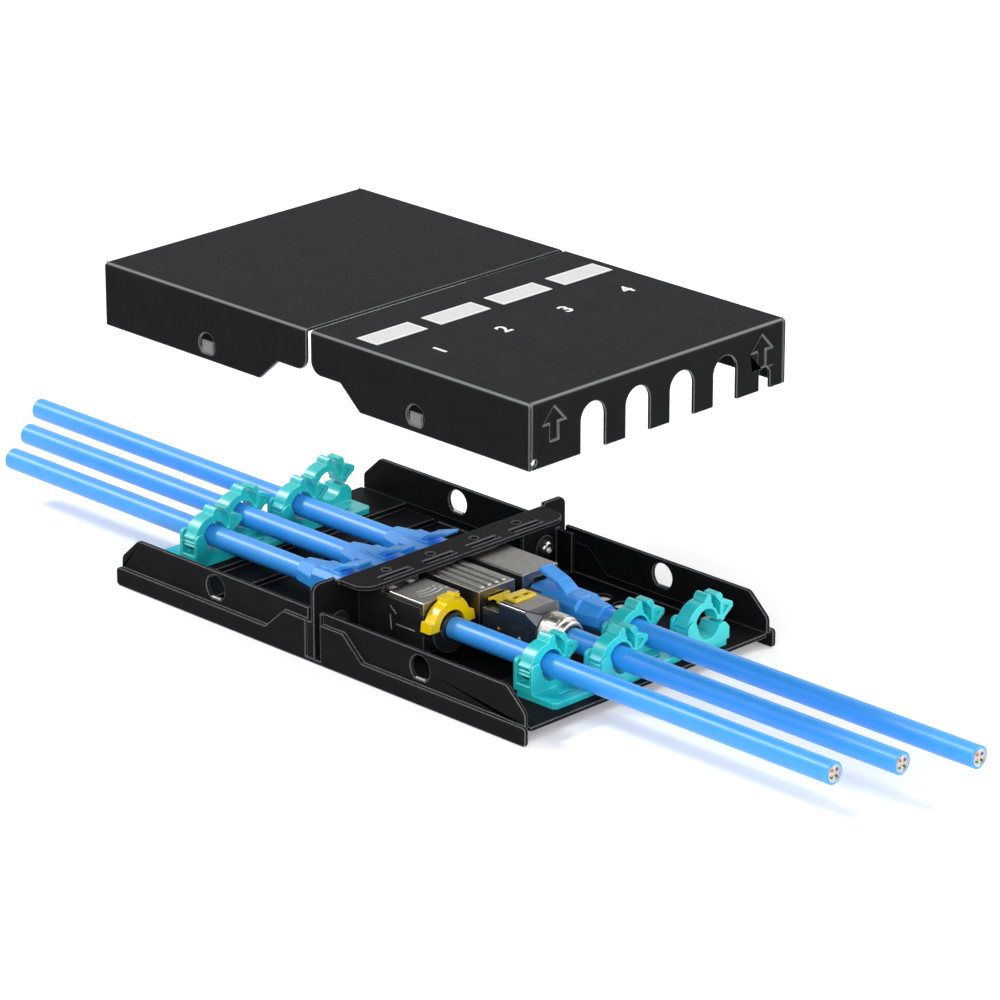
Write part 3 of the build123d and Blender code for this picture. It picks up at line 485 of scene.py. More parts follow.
# Polyester write-on film: pale grey, slightly textured so that a pen holds
LABEL_FILM = Finish("write_on_film", ("CACACA", "D2D2D2"), roughness=(0.42, 0.52), grain_mm=0.25)
# Enamel dot in signal orange: dense and glossy
ORANGE_ENAMEL = Finish(
    "orange_enamel", ("F08A1E", "F79A30"), roughness=(0.25, 0.35), mottle_mm=1.0, relief_mm=0.001
)
# Bare copper at a cut conductor: reddish metal
BARE_COPPER = Finish(
    "cut_copper", ("B5623A", "C4724A"), roughness=(0.3, 0.4), mottle_mm=0.6, grain_mm=0.2,
    relief_mm=0.001, metallic=1.0,
)
# Aluminium screening foil: bright, lightly crinkled
SCREEN_FOIL = Finish(
    "screening_foil", ("B8BBBE", "D0D2D4"), roughness=(0.24, 0.4), mottle_mm=0.8, grain_mm=0.35,
    relief_mm=0.02, metallic=1.0,
)
# Polyethylene insulation of the conductors: waxy and even, one colour for each pair
CORE_WHITE = Finish(
    "core_insulation_white", ("DADAD6", "E6E6E2"), roughness=(0.4, 0.5), mottle_mm=1.0,
    relief_mm=0.001,
)
CORE_COLOURS = tuple(
    replace(CORE_WHITE, name=f"core_insulation_{colour}", colours=colours)
    for colour, colours in (
        ("blue", ("1F4FA8", "2A5DBA")),
        ("orange", ("D9701A", "E67E28")),
        ("green", ("2C8A45", "389A52")),
        ("brown", ("6B4327", "7A4F30")),
    )
)


def button_profile(radius: float, height: float) -> tuple[Pair, ...]:
    """Return the profile of a low domed button that starts just under its surface."""
    return (
        (radius, -BUTTON_ROOT_MM),
        (radius, BUTTON_SHOULDER * height),
        (BUTTON_FLAT * radius, height),
        (0.0, height),
    )


def ring_profile(inner: float, outer: float, width: float) -> tuple[Pair, ...]:
    """Return the closed profile of a ring with rounded corners."""
    round_off = RING_ROUND_OFF * width
    return (
        (inner, 0.0),
        (outer - round_off, 0.0),
        (outer, round_off),
        (outer, width - round_off),
        (outer - round_off, width),
        (inner, width),
        (inner, 0.0),
    )


@dataclass
class Draft:
    """A fine piece drawn in millimetres from raised bars, turned forms and thin slabs."""

    verts: list[Vector] = field(default_factory=list)
    faces: list[tuple[int, ...]] = field(default_factory=list)

    def bar(self, path: list[Vector], up: Vector, width: float, height: float) -> None:
        """Add a raised bar with sloped flanks along a path.

        Args:
            path: Points on the surface that carries the bar.
            up: Unit normal of that surface.
            width: Width of the bar at its foot.
            height: Height of the bar.
        """
        first = len(self.verts)
        last = len(path) - 1
        for index, point in enumerate(path):
            along = (path[min(index + 1, last)] - path[max(index - 1, 0)]).normalized()
            across = along.cross(up).normalized()
            for shift, rise in BAR_SECTION:
                self.verts.append(point + across * shift * width + up * rise * height)
        count = len(BAR_SECTION)
        for step in range(last):
            self.join(first + step * count, first + (step + 1) * count, count)
        self.faces.append(tuple(first + side for side in reversed(range(count))))
        self.faces.append(tuple(first + last * count + side for side in range(count)))

    def turned(
        self, profile: tuple[Pair, ...], centre: Vector, axis: Vector, facets: int = TURNED_FACETS
    ) -> None:
        """Add a form turned about an axis.

        Args:
            profile: Pairs of radius and distance along the axis; closed where the ends meet.
            centre: Point on the axis that distances start from.
            axis: Unit direction of the axis.
            facets: Facets around the axis.
        """
        side = axis.orthogonal().normalized()
        other = axis.cross(side)
        first = len(self.verts)
        for radius, along in profile:
            for facet in range(facets):
                turn = 2 * math.pi * facet / facets
                spoke = side * math.cos(turn) + other * math.sin(turn)
                self.verts.append(centre + axis * along + spoke * radius)
        for row in range(len(profile) - 1):
            self.join(first + row * facets, first + (row + 1) * facets, facets)

    def slab(self, outline: list[Vector], thickness: Vector) -> None:
        """Add a thin slab.

        Args:
            outline: Corners of its inner face, in order.
            thickness: Way from there to its outer face.
        """
        first, count = len(self.verts), len(outline)
        self.verts.extend(outline)
        self.verts.extend(corner + thickness for corner in outline)
        self.faces.append(tuple(range(first, first + count)))
        self.faces.append(tuple(reversed(range(first + count, first + 2 * count))))
        self.join(first, first + count, count)

    def join(self, low: int, high: int, count: int) -> None:
        """Join two closed rows of corners by four-sided faces.

        Args:
            low: First corner of one row.
            high: First corner of the other.
            count: Corners in each row.
        """
        for corner in range(count):
            beside = (corner + 1) % count
            self.faces.append((low + corner, low + beside, high + beside, high + corner))

    def mesh(self, name: str) -> Mesh:
        """Return the finished mesh in metres.

        Args:
            name: Name of the mesh.

        Returns:
            The welded mesh with outward normals.
        """
        mesh = bpy.data.meshes.new(name)
        mesh.from_pydata([vert * MM for vert in self.verts], [], self.faces)
        shape = bmesh.new()
        shape.from_mesh(mesh)
        bmesh.ops.remove_doubles(shape, verts=shape.verts, dist=DRAFT_WELD)
        bmesh.ops.recalc_face_normals(shape, faces=shape.faces)
        shape.to_mesh(mesh)
        shape.free()
        smooth_by_angle(mesh, DRAFT_SMOOTH_DEG)
        return mesh


@dataclass
class Palette:
    """The object's materials, each built once."""

    made: dict[str, Material] = field(default_factory=dict)

    def get(self, finish: Finish) -> Material:
        """Return the material of a finish, building it at its first use.

        Args:
            finish: The finish wanted.

        Returns:
            Its material.
        """
        if finish.name not in self.made:
            self.made[finish.name] = finish.build()
        return self.made[finish.name]


@dataclass(frozen=True)
class Solid:
    """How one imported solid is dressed: finish, record slot, edge radius and the body it rides."""

    node: str
    finish: Finish
    slot: Slot
    edge_mm: float
    segments: int = 2
    body: str = Body.PANEL.value


@dataclass
class Workshop:
    """What every sub-assembly shares: the loaded frame and the palette."""

    frame: dict
    palette: Palette

    def put(self, name: str, mesh: Mesh, finish: Finish, slot: str, body: str) -> Piece:
        """Make an object of a mesh, dress it and let it ride on a body.

        Args:
            name: Name of the piece.
            mesh: Its mesh, in metres in the row frame.
            finish: Its finish.
            slot: Material slot of the record; not used.
            body: Body that it moves with.

        Returns:
            The new object.
        """
        piece = add_object(name, mesh)
        mesh.materials.clear()
        mesh.materials.append(self.palette.get(finish))
        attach(piece, body)
        return piece

    def draw(
        self, name: str, draft: Draft, finish: Finish, slot: Slot, body: str = Body.PANEL.value
    ) -> Piece:
        """Mesh a draft and put it as a piece of that name, finish and body."""
        return self.put(name, draft.mesh(name), finish, slot.value, body)

    def soften(self, solid: Solid) -> None:
        """Replace a solid by its own mesh with rounded edges.

        Args:
            solid: The solid and how it is dressed.
        """
        source = self.frame["nodes"][solid.node]
        mesh = source.data.copy()
        mesh.transform(source.matrix_world)
        shape = bmesh.new()
        shape.from_mesh(mesh)
        bmesh.ops.remove_doubles(shape, verts=shape.verts, dist=SOLID_WELD)
        bmesh.ops.dissolve_limit(
            shape, angle_limit=math.radians(FLAT_DEG), verts=shape.verts, edges=shape.edges
        )
        weigh_edges(shape, solid.edge_mm * MM)
        shape.to_mesh(mesh)
        shape.free()
        if "custom_normal" in mesh.attributes:
            mesh.attributes.remove(mesh.attributes["custom_normal"])
        piece = self.put(f"{solid.node}_dressed", mesh, solid.finish, solid.slot.value, solid.body)
        rounded = piece.modifiers.new("Rounded edges", "BEVEL")
        rounded.width = solid.edge_mm * MM
        rounded.segments = solid.segments
        rounded.limit_method = "WEIGHT"
        rounded.use_clamp_overlap = False
        bake_modifiers(piece)
        smooth_by_angle(piece.data, SOLID_SMOOTH_DEG)
        even = piece.modifiers.new("Even shading", "WEIGHTED_NORMAL")
        even.keep_sharp = True
        bake_modifiers(piece)
        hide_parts(solid.node)


def weigh_edges(shape: bmesh.types.BMesh, width: float) -> None:
    """Give each corner edge the share of the rounding that its neighbours leave room for.

    Args:
        shape: Mesh whose edges are weighed.
        width: Full rounding width, in metres.
    """
    weights = shape.edges.layers.float.new("bevel_weight_edge")
    for edge in shape.edges:
        if len(edge.link_faces) != 2 or edge.calc_face_angle(0.0) < math.radians(CORNER_DEG):
            continue
        room = width
        for vert in edge.verts:
            along = (edge.other_vert(vert).co - vert.co).normalized()
            for other in vert.link_edges:
                reach = other.other_vert(vert).co - vert.co
                if other == edge or along.dot(reach.normalized()) < RUN_ON_COSINE:
                    continue
                room = min(room, ROOM_SHARE * reach.length)
        share = room / width
        edge[weights] = share if share > LEAST_SHARE else 0.0


def add_object(name: str, data: bpy.types.ID) -> Piece:
    """Return a new object of some data, linked to the scene."""
    made = bpy.data.objects.new(name, data)
    bpy.context.scene.collection.objects.link(made)
    return made


def evaluated_mesh(piece: Piece) -> Mesh:
    """Return a new mesh of a piece with its modifiers or text worked out."""
    graph = bpy.context.evaluated_depsgraph_get()
    return bpy.data.meshes.new_from_object(piece.evaluated_get(graph))


def bake_modifiers(piece: Piece) -> None:
    """Apply every modifier of a piece to its mesh."""
    baked = evaluated_mesh(piece)
    piece.modifiers.clear()
    piece.data = baked


def smooth_by_angle(mesh: Mesh, degrees: float) -> None:
    """Shade a mesh smooth except across edges sharper than the angle."""
    mesh.polygons.foreach_set("use_smooth", [True] * len(mesh.polygons))
    mesh.set_sharp_from_angle(angle=math.radians(degrees))


@dataclass
class Assembly:
    """A sub-assembly: the solids that are dressed first, and the details that follow."""

    shop: Workshop
    solids: tuple[Solid, ...] = ()

    def build(self) -> None:
        """Dress the solids, then add the small pieces."""
        for solid in self.solids:
            self.shop.soften(solid)
        self.add_details()

    def add_details(self) -> None:
        """Add the small pieces, and dress the solids that come between them."""
        raise NotImplementedError


@dataclass
class SteelTray(Assembly):
    """Folded steel tray with its divider bracket and the bracket's fasteners."""

    solids: tuple[Solid, ...] = (
        Solid("base_tray", POWDER_COAT, Slot.STEEL, edge_mm=0.32),
        Solid("divider_bracket", POWDER_COAT, Slot.STEEL, edge_mm=0.3),
        Solid("divider_washers", CHARCOAL_PLASTIC, Slot.BLACK, edge_mm=0.2),
        Solid("divider_screws", ZINC_PLATE, Slot.ZINC, edge_mm=0.12),
        Solid("divider_nuts", ZINC_PLATE, Slot.ZINC, edge_mm=0.15),
    )
    flange_top_mm: float = 27.0
    hole_x_mm: float = 5.4
    hole_radius_mm: float = 1.5
    slot_x_mm: float = 10.0
    slot_half_length_mm: float = 7.0
    slot_half_width_mm: float = 1.2
    rim_gap_mm: float = 0.05
    rim_mm: float = 0.45
    rim_height_mm: float = 0.18
    latch_x_mm: float = 50.0
    latch_wall_mm: float = 57.75
    latch_flat_mm: float = 8.4
    lip_half_mm: float = 2.2
    lip_width_mm: float = 1.2
    lip_height_mm: float = 0.45

    def add_details(self) -> None:
        """Rim the divider's holes and lip the tray's windows."""
        self.rim_marker_holes()
        self.lip_latch_windows()

    def rim_marker_holes(self) -> None:
        """Raise the pressed rims around the marker holes and slots of the flange."""
        draft = Draft()
        inner, outer = self.hole_radius_mm + self.rim_gap_mm, self.hole_radius_mm + self.rim_mm
        rim = ring_profile(inner, outer, self.rim_height_mm)
        beside_slot = self.slot_half_width_mm + self.rim_mm / 2 + self.rim_gap_mm
        for lane in LANES:
            draft.turned(rim, Vector((self.hole_x_mm, lane, self.flange_top_mm)), UP)
            for side in (-1, 1):
                x = self.slot_x_mm + side * beside_slot
                ends = (lane - self.slot_half_length_mm, lane + self.slot_half_length_mm)
                path = [Vector((x, y, self.flange_top_mm)) for y in ends]
                draft.bar(path, UP, self.rim_mm, self.rim_height_mm)
        self.shop.draw("divider_flange_rims", draft, POWDER_COAT, Slot.STEEL)

    def lip_latch_windows(self) -> None:
        """Roll a painted-highlight grey lip onto each latch window's flat in the side walls."""
        draft = Draft()
        for x in (-self.latch_x_mm, self.latch_x_mm):
            for y in (-self.latch_wall_mm, self.latch_wall_mm):
                ends = (x - self.lip_half_mm, x + self.lip_half_mm)
                path = [Vector((end, y, self.latch_flat_mm)) for end in ends]
                draft.bar(path, UP, self.lip_width_mm, self.lip_height_mm)
        self.shop.draw("tray_window_lips", draft, HIGHLIGHT_GREY_STEEL, Slot.STEEL)


@dataclass
class CableClips(Assembly):
    """Eight moulded ratchet clips, each a base and an arm, with painted shade in its opening."""

    edge_mm: float = 0.22
    window_starts_mm: tuple[tuple[str, Pair], ...] = (
        ("left", (-86.35, -94.65)), ("right", (77.35, 89.35))
    )
    window_width_mm: float = 5.6
    window_middle_mm: float = 11.65
    window_height_mm: float = 2.6
    window_wall_mm: float = 7.015
    shade_mm: float = 0.07

    def add_details(self) -> None:
        """Dress every clip; those of the even ports stand further out."""
        for side, starts in self.window_starts_mm:
            for port, lane in zip(PORTS, LANES):
                where = f"{side}_{port}"
                self.shade_window(where, starts[1 - port % 2], lane)
                for node, body in (
                    (f"clip_base_{where}", Body.PANEL.value), (f"clip_arm_{where}", f"arm_{where}")
                ):
                    solid = Solid(node, TEAL_NYLON, Slot.TEAL, self.edge_mm, body=body)
                    self.shop.soften(solid)

    def shade_window(self, where: str, start: float, lane: float) -> None:
        """Lay painted shade for the strap's opening on the wall behind it.

        Args:
            where: Side and port of the clip.
            start: Lower x of the opening.
            lane: Middle of the clip across the tray.
        """
        y = lane - self.window_wall_mm
        ends = (start, start + self.window_width_mm)
        path = [Vector((end, y, self.window_middle_mm)) for end in ends]
        draft = Draft()
        draft.bar(path, UP, self.shade_mm, self.window_height_mm)
        self.shop.draw(f"clip_window_{where}", draft, CLIP_PAINTED_SHADE, Slot.TEAL)


@dataclass
class PortOne(Assembly):
    """Toolless jack of the first lane: housing, top cap, cable saddle and its yellow hoop."""

    solids: tuple[Solid, ...] = (
        Solid("jack_1_housing", CHARCOAL_PLASTIC, Slot.DARK, edge_mm=0.25),
        Solid("jack_1_cap", NICKEL_CASTING, Slot.NICKEL, edge_mm=0.25),
        Solid("jack_1_gland", CHARCOAL_PLASTIC, Slot.DARK, edge_mm=0.2),
        Solid("jack_1_clamp_ring", YELLOW_ACETAL, Slot.YELLOW, edge_mm=0.3),
    )
    rib_width_mm: float = 0.6
    rib_height_mm: float = 0.22
    dot_radius_mm: float = 0.5
    line_width_mm: float = 0.55
    line_height_mm: float = 0.12
    cap_ribs: tuple[tuple[Pair, ...], ...] = (
        ((22.9, -33.8), (23.4, -32.6), (23.6, -31.1), (23.6, -29.3), (23.4, -27.7)),
        ((24.7, -35.1), (25.5, -33.3), (25.8, -31.3), (25.6, -28.9), (25.0, -26.5)),
        ((26.6, -36.3), (27.6, -34.2), (27.9, -31.8), (27.5, -28.6), (26.6, -25.4)),
    )
    cap_dots: tuple[Pair, ...] = ((23.1, -25.9), (24.9, -24.7), (26.7, -23.6))
    tab_places: tuple[Pair, ...] = ((14.1, -36.1), (14.1, -27.9))
    tab_size_mm: Pair = (1.7, 2.4)
    tab_height_mm: float = 0.12
    side_lines: tuple[tuple[Pair, ...], ...] = (
        ((16.2, 19.5), (19.1, 17.3)), ((16.1, 16.3), (16.7, 11.1)), ((19.0, 13.6), (27.9, 13.6))
    )

    def add_details(self) -> None:
        """Mark the cap, face the tabs and raise the ridges on the side."""
        self.mark_cap()
        self.face_tabs()
        self.mark_side()

    def mark_cap(self) -> None:
        """Raise the curved ribs and the dots on top of the cap."""
        draft = Draft()
        for rib in self.cap_ribs:
            path = [Vector((x, y, JACK_TOP)) for x, y in rib]
            draft.bar(path, UP, self.rib_width_mm, self.rib_height_mm)
        dot = button_profile(self.dot_radius_mm, self.rib_height_mm)
        for x, y in self.cap_dots:
            draft.turned(dot, Vector((x, y, JACK_TOP)), UP)
        self.shop.draw("jack_1_cap_marks", draft, BRIGHT_NICKEL, Slot.NICKEL)

    def face_tabs(self) -> None:
        """Lay the ground pads on the two tabs behind the cap."""
        draft = Draft()
        long, wide = self.tab_size_mm
        for x, y in self.tab_places:
            path = [Vector((x + shift * long / 2, y, JACK_TOP)) for shift in (-1, 1)]
            draft.bar(path, UP, wide, self.tab_height_mm)
        self.shop.draw("jack_1_tab_pads", draft, GROUND_TAB, Slot.NICKEL)

    def mark_side(self) -> None:
        """Raise the guide ridges on the jack's side, grey as a painted highlight."""
        draft = Draft()
        for line in self.side_lines:
            path = [Vector((x, JACK_SIDE, z)) for x, z in line]
            draft.bar(path, FRONT, self.line_width_mm, self.line_height_mm)
        self.shop.draw("jack_1_side_lines", draft, RIDGE_HIGHLIGHT_GREY, Slot.GREY)


@dataclass
class PortTwo(Assembly):
    """Coupler and field plug of the second lane, with the plug's dots, lands and seals."""

    solids: tuple[Solid, ...] = (
        Solid("coupler_2", NICKEL_CASTING, Slot.NICKEL, edge_mm=0.25),
        Solid("field_plug_body", NAVY_SHELL, Slot.NICKEL, edge_mm=0.35, segments=3),
        Solid("field_plug_cap", GREY_PLASTIC, Slot.GREY, edge_mm=0.2),
        Solid("field_plug_latch", YELLOW_ACETAL, Slot.YELLOW, edge_mm=0.2),
        Solid("field_plug_collar", BRIGHT_NICKEL, Slot.NICKEL, edge_mm=0.25),
        Solid("field_plug_gland", BRIGHT_NICKEL, Slot.NICKEL, edge_mm=0.25),
    )
    side_y_mm: float = -18.3
    dots: tuple[tuple[str, Pair, Finish, Slot], ...] = (
        ("orange", (46.3, 13.8), ORANGE_ENAMEL, Slot.YELLOW),
        ("white", (56.0, 13.1), PRINT_WHITE, Slot.GREY),
    )
    dot_radius_mm: float = 0.55
    dot_height_mm: float = 0.14
    knurl_count: int = 9
    knurl_span_mm: Pair = (65.2, 69.2)
    knurl_radius_mm: float = 6.72
    knurl_width_mm: float = 2.9
    knurl_height_mm: float = 0.4
    seals: tuple[tuple[str, float, Triple], ...] = (
        ("throat_seal", 62.3, (6.3, 7.15, 0.9)), ("cable_lip", 72.3, (3.85, 4.9, 0.55))
    )

    def add_details(self) -> None:
        """Mark the plug's side, knurl its collar and seal its ends."""
        self.mark_side()
        self.knurl_collar()
        self.seal_ends()

    def mark_side(self) -> None:
        """Set the enamel dot and the printed dot on the plug's side."""
        dot = button_profile(self.dot_radius_mm, self.dot_height_mm)
        for label, (x, z), finish, slot in self.dots:
            draft = Draft()
            draft.turned(dot, Vector((x, self.side_y_mm, z)), FRONT)
            self.shop.draw(f"field_plug_{label}_dot", draft, finish, slot)

    def knurl_collar(self) -> None:
        """Raise the grip lands around the collar."""
        draft = Draft()
        for land in range(self.knurl_count):
            turn = 2 * math.pi * land / self.knurl_count
            out = Vector((0, math.cos(turn), math.sin(turn)))
            foot = Vector((0, LANES[1], AXIS_HEIGHT)) + out * self.knurl_radius_mm
            path = [foot + RIGHT * x for x in self.knurl_span_mm]
            draft.bar(path, out, self.knurl_width_mm, self.knurl_height_mm)
        self.shop.draw("field_plug_collar_lands", draft, BRIGHT_NICKEL, Slot.NICKEL)

    def seal_ends(self) -> None:
        """Lay the dark seal at the throat and the dark lip around the cable."""
        for label, x, sizes in self.seals:
            draft = Draft()
            draft.turned(ring_profile(*sizes), Vector((x, LANES[1], AXIS_HEIGHT)), RIGHT)
            self.shop.draw(f"field_plug_{label}", draft, CHARCOAL_PLASTIC, Slot.DARK)


@dataclass
class PatchCords(Assembly):
    """Coupler of the third lane and the clear plugs with their moulded boots."""

    solids: tuple[Solid, ...] = (Solid("coupler_3", NICKEL_CASTING, Slot.NICKEL, edge_mm=0.25),)
    plug_edge_mm: float = 0.15
    boot_edge_mm: float = 0.4
    lever_start_mm: float = 2.6
    lever_end_mm: float = 10.2
    lever_tip_mm: float = 1.6
    lever_tip_height_mm: float = 11.4
    lever_slope: float = 3.0 / 9.4
    lever_half_mm: float = 2.2
    groove_width_mm: float = 0.4
    groove_height_mm: float = 0.14
    cords: tuple[tuple[str, int, float, int], ...] = (
        ("left_1", 0, -3.35, -1),
        ("left_2", 1, -3.35, -1),
        ("left_3", 2, -3.35, -1),
        ("right_3", 2, 37.9, 1),
    )

    def add_details(self) -> None:
        """Dress every plug and boot and trace the lever of each boot."""
        for where, lane, start, side in self.cords:
            for solid in (
                Solid(f"plug_{where}", CLEAR_POLYCARBONATE, Slot.CLEAR, self.plug_edge_mm),
                Solid(f"boot_{where}", BLUE_BOOT, Slot.BOOT, self.boot_edge_mm, segments=3),
            ):
                self.shop.soften(solid)
            self.trace_lever(where, lane, start, side)

    def trace_lever(self, where: str, lane: int, start: float, side: int) -> None:
        """Raise the fine frame line on top of a boot's lever.

        Args:
            where: Side and port of the cord.
            lane: Index of its lane.
            start: Where the boot begins along X, in millimetres.
            side: 1 to the right of the divider, -1 to the left.
        """
        up = (UP + RIGHT * side * self.lever_slope).normalized()
        corners = []
        for along, across in (
            (self.lever_end_mm, -self.lever_half_mm),
            (self.lever_start_mm, -self.lever_half_mm),
            (self.lever_start_mm, self.lever_half_mm),
            (self.lever_end_mm, self.lever_half_mm),
        ):
            drop = (along - self.lever_tip_mm) * self.lever_slope
            height = AXIS_HEIGHT + self.lever_tip_height_mm - drop
            corners.append(Vector((start + side * along, LANES[lane] + across, height)))
        draft = Draft()
        for first, second in zip(corners, corners[1:] + corners[:1]):
            draft.bar([first, second], up, self.groove_width_mm, self.groove_height_mm)
        self.shop.draw(f"boot_{where}_lever_frame", draft, BLUE_BOOT, Slot.BOOT)


@dataclass(frozen=True)
class CableRun:
    """One straight cable: the node it stands for and its two ends along X, in millimetres."""

    node: str
    lane: int
    start: float
    end: float


@dataclass
class Cables(Assembly):
    """Six data cables, each a taut straight run through its clip, cut square at its outer end."""

    diameter_mm: float = 7.8
    foil_profile_mm: tuple[Pair, ...] = (
        (0.0, 0.04), (2.7, 0.04), (2.75, 0.3), (3.0, 0.3), (3.02, -0.2)
    )
    pair_circle_mm: float = 1.5
    pair_turn_deg: float = 90
    first_pair_deg: float = 20
    core_radius_mm: float = 0.58
    core_length_mm: float = 0.5
    core_facets: int = 16
    copper_radius_mm: float = 0.27
    copper_length_mm: float = 0.66
    copper_facets: int = 12
    curve_steps: int = 8
    runs: tuple[CableRun, ...] = (
        CableRun("cable_left_1", 0, -34.35, -190.0),
        CableRun("cable_left_2", 1, -34.35, -206.0),
        CableRun("cable_left_3", 2, -34.35, -224.0),
        CableRun("cable_right_1", 0, 38.0, 206.0),
        CableRun("cable_right_2", 1, 72.6, 216.0),
        CableRun("cable_right_3", 2, 68.9, 230.0),
    )

    def add_details(self) -> None:
        """Lay each cable as a smooth round curve along its lane."""
        for run in self.runs:
            self.lay(run, self.cut_end(run))

    def cut_end(self, run: CableRun) -> list[Piece]:
        """Show the foil and the four pairs at a cable's cut end.

        Args:
            run: The cable.

        Returns:
            The pieces of its cut end.
        """
        out = RIGHT if run.end > run.start else -RIGHT
        face = Vector((run.end, LANES[run.lane], AXIS_HEIGHT))
        core = button_profile(self.core_radius_mm, self.core_length_mm)
        wire = button_profile(self.copper_radius_mm, self.copper_length_mm)
        foil, white, copper = Draft(), Draft(), Draft()
        colours = [Draft() for _ in CORE_COLOURS]
        foil.turned(self.foil_profile_mm, face, out)
        for pair, coloured in enumerate(colours):
            turn = math.radians(self.pair_turn_deg * pair + self.first_pair_deg)
            spoke = Vector((0, math.cos(turn), math.sin(turn)))
            beside = Vector((0, -math.sin(turn), math.cos(turn)))
            for draft, shift in ((coloured, 1), (white, -1)):
                middle = face + spoke * self.pair_circle_mm + beside * self.core_radius_mm * shift
                draft.turned(core, middle, out, self.core_facets)
                copper.turned(wire, middle, out, self.copper_facets)
        parts = [("foil", foil, SCREEN_FOIL), ("cores_white", white, CORE_WHITE)]
        parts.append(("copper", copper, BARE_COPPER))
        for finish, coloured in zip(CORE_COLOURS, colours):
            parts.append((finish.name.replace("core_insulation", "cores"), coloured, finish))
        return [
            self.shop.draw(f"{run.node}_{label}", draft, finish, Slot.JACKET)
            for label, draft, finish in parts
        ]

    def lay(self, run: CableRun, end_pieces: list[Piece]) -> None:
        """Lay one cable.

        Args:
            run: Its node, lane and ends.
            end_pieces: Pieces of its cut end, which go with it; not used.
        """
        y = LANES[run.lane]
        points = [(run.start + (run.end - run.start) * t, y, AXIS_HEIGHT) for t in (0, 0.5, 1)]
        curve = bpy.data.curves.new(f"{run.node}_jacket", "CURVE")
        curve.dimensions = "3D"
        line = curve.splines.new("NURBS")
        line.points.add(len(points) - 1)
        for target, place in zip(line.points, points):
            target.co = (place[0] * MM, place[1] * MM, place[2] * MM, 1.0)
        line.order_u = 3
        line.use_endpoint_u = True
        curve.bevel_depth = self.diameter_mm * MM / 2
        curve.bevel_resolution = self.curve_steps
        curve.resolution_u = self.curve_steps
        curve.use_fill_caps = True
        piece = add_object(f"{run.node}_jacket", curve)
        curve.materials.append(self.shop.palette.get(BLUE_JACKET))
        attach(piece, Body.PANEL.value)
        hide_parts(run.node)


